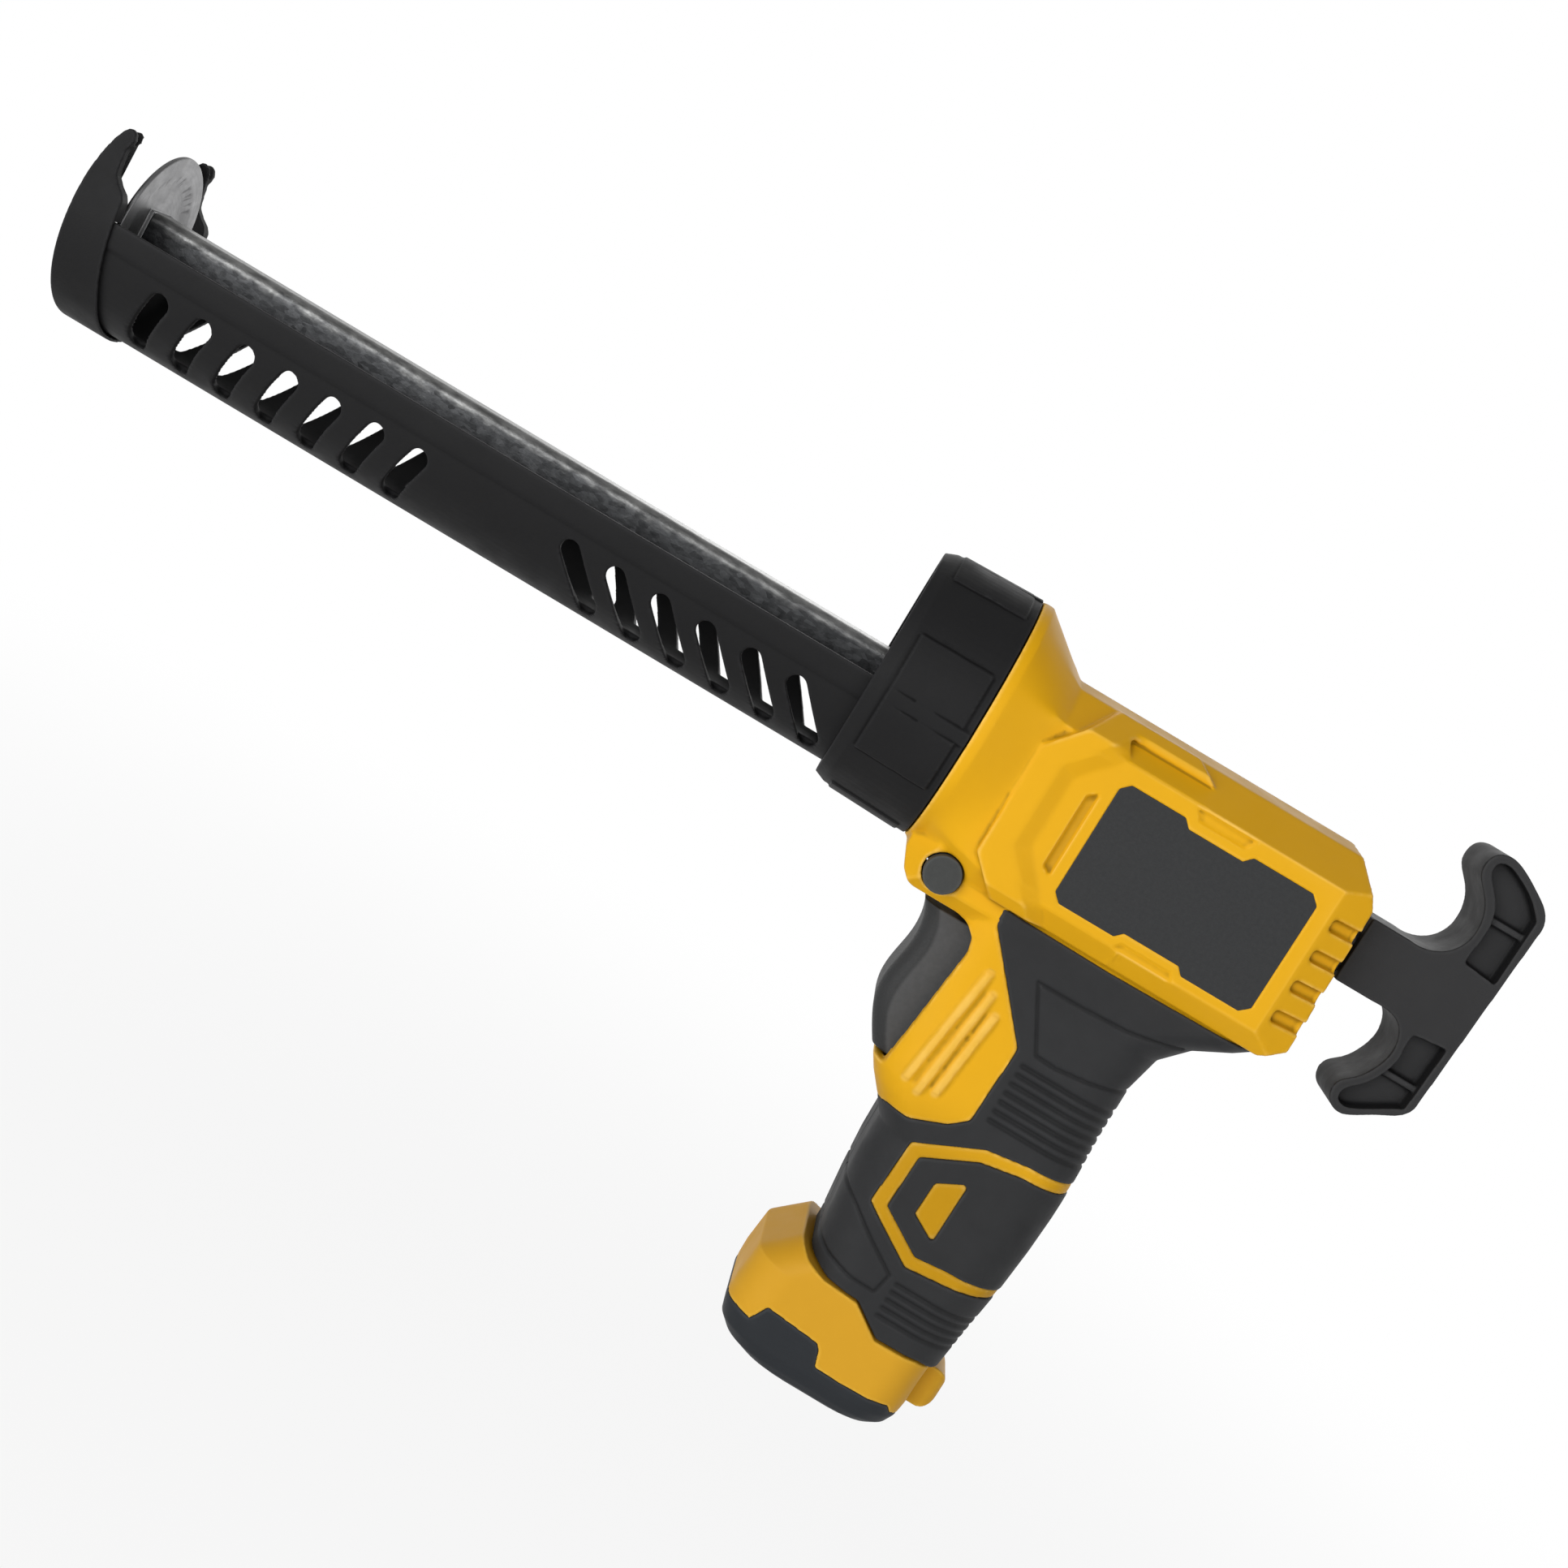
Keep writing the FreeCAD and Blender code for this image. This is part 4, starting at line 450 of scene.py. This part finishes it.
def grip_pattern(spots, normals):
    """Panel lines round the thumb and heel panels, and two groups of ribs towards the back."""
    middle_x, middle_z, middle_lean, skin_reach = 0.062, -0.060, 0.14, 0.006
    grip_middle = np.zeros_like(spots)
    grip_middle[:, 0] = middle_x + middle_lean * (spots[:, 2] - middle_z)
    grip_middle[:, 2] = spots[:, 2]
    outward = fade(((spots - grip_middle) * normals).sum(1), 0.0, skin_reach)
    panel_line, rib_line, groove_depth = 0.0007, 0.0009, 0.00045
    thumb_panel = [
        (0.0870, -0.0432), (0.0800, -0.0446), (0.0720, -0.0460), (0.0600, -0.0467), (0.0468, -0.0468),
        (0.0562, -0.0632), (0.0620, -0.0635), (0.0700, -0.0625), (0.0830, -0.0606),
    ]
    heel_panel = [
        (0.0285, -0.1155), (0.0380, -0.1208), (0.0542, -0.1314), (0.0532, -0.1372), (0.0460, -0.1371),
        (0.0380, -0.1357), (0.0300, -0.1325),
    ]
    pattern = np.maximum.reduce([
        along_line(spots, thumb_panel, panel_line),
        along_line(spots, heel_panel, panel_line),
        level_grooves(
            spots, first=-0.0672, pitch=0.00268, count=7, x_low=0.0546, x_high=0.0900, half_width=rib_line
        ),
        level_grooves(
            spots, first=-0.1325, pitch=0.00240, count=5, x_low=0.0570, x_high=0.0900, half_width=rib_line
        ),
    ])
    # The grooves are pressed in, and their darkening through the pattern is painted shade.
    return groove_depth, pattern * outward


grip_rubber = skin(
    "grip_rubber", (0.0190, 0.0194, 0.0205), (0.0150, 0.0154, 0.0165),
    patch=0.02, gloss=(0.54, 0.68), grain=0.0005, depth=0.000022,
    specular=0.20, corner=(0.034, 0.035, 0.037),
)
rubber_cell = 0.0004
for sleeve in ("grip_sleeve_left", "grip_sleeve_right"):
    softened(
        sleeve, "casing", grip_rubber,
        cell=rubber_cell, passes=2, most=120000, press=grip_pattern,
    )
for pad in ("grip_pad_left", "grip_pad_right"):
    softened(
        pad, "casing", grip_rubber,
        cell=rubber_cell, passes=2, most=30000,
    )


# Label plates: thin plastic plates let flush into the sides, spark-textured charcoal and left bare.
# They are too thin for the casing's soft edges, and only their rims are broken.
def rounded(name, body, finish, round_width):
    """The CAD piece again with its corners rounded, in that piece's place and on its body."""
    steps, sharp, level = 3, math.radians(32.0), math.radians(0.6)
    piece = merged_copy(name, finish)
    bpy.ops.object.mode_set(mode="EDIT")
    bpy.ops.mesh.select_all(action="SELECT")
    bpy.ops.mesh.dissolve_limited(angle_limit=level)
    bpy.ops.object.mode_set(mode="OBJECT")
    piece.data.materials.append(finish)
    work(
        piece, "BEVEL", width=round_width, segments=steps, limit_method="ANGLE",
        angle_limit=sharp, use_clamp_overlap=False, material=1,
    )
    mark = piece.data.attributes.new("edge", "FLOAT", "FACE")
    for index, face in enumerate(piece.data.polygons):
        mark.data[index].value = float(face.material_index == 1)
        face.material_index = 0
    piece.data.materials.pop(index=1)
    bpy.ops.object.shade_smooth_by_angle(angle=sharp)
    work(piece, "WEIGHTED_NORMAL", keep_sharp=True)
    return placed(piece, name, body)


textured_plate = skin(
    "textured_plate", (0.026, 0.027, 0.028), (0.016, 0.0165, 0.0175),
    patch=0.0010, gloss=(0.50, 0.70), grain=0.00055, depth=0.00008,
    specular=0.22, corner=(0.035, 0.036, 0.038),
)
label_round = 0.00025
for label in ("label_left", "label_right"):
    rounded(label, "casing", textured_plate, round_width=label_round)


# Trigger and lock button: moulded in black nylon with a spark-textured face, guided in the casing.
# The trigger slides straight back, the button is pushed across the chin.
trigger_nylon = skin(
    "trigger_nylon", (0.070, 0.071, 0.072), (0.048, 0.049, 0.050),
    patch=0.0015, gloss=(0.48, 0.66), grain=0.0005, depth=0.00006,
    specular=0.24, corner=(0.075, 0.076, 0.078),
)


def front_lip(spots, normals):
    """1 on the smooth lip along the trigger's front, darker than its sides and level with them."""
    level_count, lip_full, lip_end = 40, 0.0040, 0.0052
    x, z = spots[:, 0], spots[:, 2]
    levels = np.linspace(z.min(), z.max(), level_count)
    bins = np.digitize(z, levels)
    fronts = np.array([x[bins == index].min(initial=1.0) for index in range(1, len(levels))])
    front = np.interp(z, (levels[1:] + levels[:-1]) / 2, fronts)
    return 0.0, fade(x - front, lip_end, lip_full)


softened(
    "trigger", "trigger_body", trigger_nylon,
    cell=0.0004, passes=3, most=60000, press=front_lip,
)
button_nylon = skin(
    "button_nylon", (0.046, 0.048, 0.047), (0.034, 0.036, 0.035),
    patch=0.0015, gloss=(0.50, 0.68), grain=0.0005, depth=0.00006,
    specular=0.20, corner=(0.065, 0.067, 0.066),
)
softened(
    "lock_button", "lock", button_nylon,
    cell=0.0003, passes=3, most=30000,
)


# Barrel: a black nylon spigot on the casing, the slotted trough that turns on it, its front holder,
# and the collar that keeps the trough on. All are moulded, with a satin skin and small rounds at the slots.
satin_black = skin(
    "satin_black", (0.0155, 0.0155, 0.0160), (0.0120, 0.0120, 0.0125),
    patch=0.02, gloss=(0.46, 0.60), grain=0.0004, depth=0.00002,
    specular=0.06, corner=(0.024, 0.024, 0.025),
)
rounded("spigot", "casing", satin_black, round_width=0.0004)
softened(
    "collar", "collar_ring", satin_black,
    cell=0.0003, passes=2, most=130000, fold=300.0,
)
softened(
    "cradle", "cradle_barrel", satin_black,
    cell=0.0005, passes=2, most=170000, fold=300.0,
)
softened(
    "front_holder", "cradle_barrel", satin_black,
    cell=0.0003, passes=8, most=120000,
)


# Pusher rod: a channel folded from galvanised strip. The zinc is spangled, and its dark base colour on the
# flanks is painted shade;
# a band along the top is painted bright by height, partly zinc rubbed in the guides and partly painted
# highlight.
galvanised = skin(
    "galvanised", (0.085, 0.087, 0.090), (0.028, 0.029, 0.031),
    patch=0.0022, gloss=(0.30, 0.48), grain=0.0006, depth=0.00003,
    metallic=1.0,
)
tree = galvanised.node_tree
place = place_in(tree)
along_rod = (0.40, 1.0, 1.0)
fleck_depth, ragged_edge = 0.6, 0.005
drawn = add_node(tree, "ShaderNodeVectorMath", {0: place, 1: along_rod}, operation="MULTIPLY")
spangle = add_node(tree, "ShaderNodeTexVoronoi", {"Vector": drawn.outputs[0], "Scale": 1000.0})
grey = add_node(tree, "ShaderNodeRGBToBW", {0: spangle.outputs["Color"]})
flecks = add_node(
    tree, "ShaderNodeMix",
    {0: fleck_depth, 6: labelled(tree, "colour").outputs[2], 7: grey.outputs[0]},
    data_type="RGBA", blend_type="MULTIPLY",
)
height = add_node(tree, "ShaderNodeSeparateXYZ", {0: place})
ragged = add_node(tree, "ShaderNodeTexNoise", {"Vector": drawn.outputs[0], "Scale": 600.0, "Detail": 5.0})
spread = add_node(tree, "ShaderNodeMath", {0: ragged.outputs[0], 1: ragged_edge}, operation="MULTIPLY")
level = add_node(tree, "ShaderNodeMath", {0: height.outputs["Z"], 1: spread.outputs[0]}, operation="ADD")
# The band along the top is painted bright by height, partly rubbed zinc and partly painted highlight.
wear_and_painted_light = add_node(
    tree, "ShaderNodeMapRange", {"Value": level.outputs[0], "From Min": 0.0030, "From Max": 0.0100},
    interpolation_type="SMOOTHSTEP",
)
rubbed_and_highlit_zinc = (0.42, 0.42, 0.410, 1.0)
bright = add_node(
    tree, "ShaderNodeMix", {0: wear_and_painted_light.outputs[0], 6: flecks.outputs[2], 7: rubbed_and_highlit_zinc}, data_type="RGBA"
)
tree.links.new(bright.outputs[2], tree.nodes["Principled BSDF"].inputs["Base Color"])
rounded("rod_channel", "pusher", galvanised, round_width=0.0003)


# Pusher disc and its screw: the disc is pressed from sheet, dished, with rings left by the tool.
# The screw runs into the block in the rod's front end.
# The rounded rims take the darker corner colour, painted shade.
pressed_disc = skin(
    "pressed_disc", (0.21, 0.21, 0.212), (0.15, 0.15, 0.153),
    patch=0.008, gloss=(0.42, 0.54), grain=0.0006, depth=0.00001,
    metallic=1.0, corner=(0.12, 0.12, 0.122),
)
tree = pressed_disc.node_tree
place = place_in(tree)
axis_height = sum(corner.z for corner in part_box("pusher_disc")) / 2
axis = (0.0, 0.0, axis_height)
centred = add_node(tree, "ShaderNodeVectorMath", {0: place, 1: axis}, operation="SUBTRACT")
ringed = add_node(
    tree, "ShaderNodeTexWave",
    {"Vector": centred.outputs[0], "Scale": 260.0, "Distortion": 1.5, "Detail": 3.0},
    wave_type="RINGS", rings_direction="X",
)
rings = add_node(
    tree, "ShaderNodeBump",
    {"Strength": 0.25, "Distance": 0.00003, "Height": ringed.outputs["Fac"]},
)
tree.links.new(rings.outputs[0], labelled(tree, "relief").inputs["Normal"])
rounded("pusher_disc", "pusher", pressed_disc, round_width=0.0004)
finish_nodes(cut_steel, "disc_screw")


# Pull handle: a hooked black nylon moulding pinned on the rod's rear end, cored out by pockets.
# Its outer edges are well rounded for the fingers.
handle_black = skin(
    "handle_black", (0.0330, 0.0330, 0.0340), (0.0270, 0.0270, 0.0280),
    patch=0.02, gloss=(0.46, 0.60), grain=0.0004, depth=0.00002,
    specular=0.07, corner=(0.046, 0.046, 0.047),
)


def hook_wall_shade(spots, normals):
    """1 on the walls between the handle's flat faces, which are painted darker than those as painted shade.
    """
    flat_from, wall_full = 0.80, 0.40
    return 0.0, fade(abs(normals[:, 1]), flat_from, wall_full)


softened(
    "t_handle", "pusher", handle_black,
    cell=0.0004, passes=5, most=110000, press=hook_wall_shade,
)


# Battery pack: a stem with three cells that slides up into the grip, on a yellow foot in a rubber boot.
# The foot and its latch are moulded in the casing's plastic, the boot is stretched over the foot.
pack_yellow = skin(
    "pack_yellow", (0.61, 0.318, 0.020), (0.56, 0.289, 0.018),
    patch=0.03, gloss=(0.42, 0.54), grain=0.0007, depth=0.000012,
    specular=0.10, corner=(0.70, 0.41, 0.05),
)
softened(
    "battery_base", "battery", pack_yellow,
    cell=0.0004, passes=3, most=90000,
)


def latch_back(spots):
    """The back of the latch button, beside its tongue, stands clear of the pocket when pressed home."""
    x, y, z = spots.T
    back, tongue_half_width, tongue_half_height, tongue_height = 0.0774, 0.0016, 0.0036, -0.1576
    beside = (abs(y) > tongue_half_width) | (abs(z - tongue_height) > tongue_half_height)
    spots[:, 0] = np.where(beside, np.maximum(x, back), x)
    return spots


softened(
    "battery_latch", "latch", pack_yellow,
    cell=0.0003, passes=3, most=20000, trim=latch_back,
)
boot_rubber = skin(
    "boot_rubber", (0.0165, 0.0190, 0.0225), (0.0130, 0.0150, 0.0180),
    patch=0.02, gloss=(0.48, 0.62), grain=0.0005, depth=0.00002,
    specular=0.20, corner=(0.032, 0.035, 0.039),
)
softened(
    "battery_boot", "battery", boot_rubber,
    cell=0.0004, passes=3, most=60000,
)
finish_nodes(filled_nylon, "battery_stem")
cell_wrap = skin(
    "cell_wrap", (0.05, 0.16, 0.36), (0.04, 0.13, 0.31),
    patch=0.01, gloss=(0.25, 0.4), grain=0.0008, depth=0.00001,
)
finish_nodes(cell_wrap, "battery_cells")


# Studio: a pale floor, a white surround, and soft lamps above and to both sides.
# The tool hangs over the floor, high enough for the battery pack to slide out below it.
battery_drop, floor_width, floor_grey = 0.11, 8.0, (0.88, 0.88, 0.88, 1.0)
bpy.ops.object.select_all(action="DESELECT")
bpy.ops.mesh.primitive_plane_add(size=floor_width, location=(0.0, 0.0, cad_box[0][2] - battery_drop))
floor = bpy.context.object
floor.name = "floor"
pale = bpy.data.materials.new("pale_floor")
pale.use_nodes = True
tree = pale.node_tree
matt = tree.nodes["Principled BSDF"]
matt.inputs["Base Color"].default_value = floor_grey
matt.inputs["Roughness"].default_value = 0.9
matt.inputs["Specular IOR Level"].default_value = 0.1


def seen_rays(tree):
    """1 for rays that show the surround itself, straight, in a reflection or through glass."""
    path = add_node(tree, "ShaderNodeLightPath", {})
    pair = add_node(
        tree, "ShaderNodeMath",
        {0: path.outputs["Is Camera Ray"], 1: path.outputs["Is Glossy Ray"]}, operation="MAXIMUM",
    )
    return add_node(
        tree, "ShaderNodeMath",
        {0: pair.outputs[0], 1: path.outputs["Is Transmission Ray"]}, operation="MAXIMUM",
    ).outputs[0]


# Under the tool the floor keeps the shadow, further out it runs into the white surround.
white = add_node(tree, "ShaderNodeEmission", {"Color": (1.0, 1.0, 1.0, 1.0), "Strength": 1.0})
spot = add_node(tree, "ShaderNodeTexCoord", {})
reach = add_node(tree, "ShaderNodeVectorMath", {0: spot.outputs["Object"]}, operation="LENGTH")
paleness = add_node(
    tree, "ShaderNodeMapRange",
    {"Value": reach.outputs["Value"], "From Min": 0.15, "From Max": 0.9, "To Min": 0.85, "To Max": 1.0},
    interpolation_type="SMOOTHSTEP",
)
share = add_node(tree, "ShaderNodeMath", {0: seen_rays(tree), 1: paleness.outputs[0]}, operation="MULTIPLY")
blend = add_node(
    tree, "ShaderNodeMixShader",
    {0: share.outputs[0], 1: matt.outputs[0], 2: white.outputs[0]},
)
tree.links.new(blend.outputs[0], tree.nodes["Material Output"].inputs["Surface"])
floor.data.materials.append(pale)

# The surround is white at eye level and dims towards the ceiling.
world = bpy.data.worlds.new("studio")
bpy.context.scene.world = world
world.use_nodes = True
tree = world.node_tree
towards = add_node(tree, "ShaderNodeTexCoord", {})
rise = add_node(tree, "ShaderNodeSeparateXYZ", {0: towards.outputs["Generated"]})
dimmer = add_node(
    tree, "ShaderNodeMapRange",
    {"Value": rise.outputs["Z"], "From Min": 0.35, "From Max": 0.60, "To Min": 1.0, "To Max": 0.08},
    interpolation_type="SMOOTHSTEP",
)
ambient_level = 0.40
level = add_node(tree, "ShaderNodeMath", {0: dimmer.outputs[0], 1: ambient_level}, operation="MULTIPLY")
ambient = tree.nodes["Background"]
ambient.inputs["Color"].default_value = (1.0, 1.0, 1.0, 1.0)
tree.links.new(level.outputs[0], ambient.inputs["Strength"])
ceiling = add_node(tree, "ShaderNodeMapRange", {"Value": dimmer.outputs[0], "To Min": 0.45, "To Max": 1.0})
surround = add_node(
    tree, "ShaderNodeBackground", {"Color": (1.0, 1.0, 1.0, 1.0), "Strength": ceiling.outputs[0]}
)
mixed = add_node(
    tree, "ShaderNodeMixShader", {0: seen_rays(tree), 1: ambient.outputs[0], 2: surround.outputs[0]}
)
tree.links.new(mixed.outputs[0], tree.nodes["World Output"].inputs["Surface"])

middle = Vector((-0.04, 0.0, -0.02))
for name, stand_at, width, power in (
    ("lamp_key", (-0.66, -1.00, 0.18), 1.0, 13.2),
    ("lamp_fill", (0.60, -0.95, -0.02), 1.2, 6.0),
    ("lamp_back", (0.25, 1.00, 0.40), 1.2, 5.0),
):
    lamp = bpy.data.lights.new(name, "AREA")
    lamp.size = width
    lamp.energy = power
    stand = bpy.data.objects.new(name, lamp)
    stand.location = stand_at
    stand.rotation_euler = (middle - Vector(stand_at)).to_track_quat("-Z", "Y").to_euler()
    bpy.context.collection.objects.link(stand)


# Camera: in front of the tool's side and a little above the barrel, looking slightly down.
# It is rolled, so that the barrel rises to the left.
pitch, roll = math.radians(8.5), math.radians(30.85)
ahead = Vector((0.0, math.cos(pitch), -math.sin(pitch)))
upright = Vector((0.0, math.sin(pitch), math.cos(pitch)))
level_right = Vector((1.0, 0.0, 0.0))
right = math.cos(roll) * level_right + math.sin(roll) * upright
up = -math.sin(roll) * level_right + math.cos(roll) * upright
view = bpy.data.cameras.new("camera")
view.lens = 48.24
view.sensor_width = 36.0
camera = bpy.data.objects.new("camera", view)
standing = Matrix.Translation((-0.0331, -0.5390, 0.0406))
camera.matrix_world = standing @ Matrix((right, up, -ahead)).transposed().to_4x4()
bpy.context.collection.objects.link(camera)
bpy.context.scene.camera = camera
bpy.context.scene.view_settings.view_transform = "Standard"
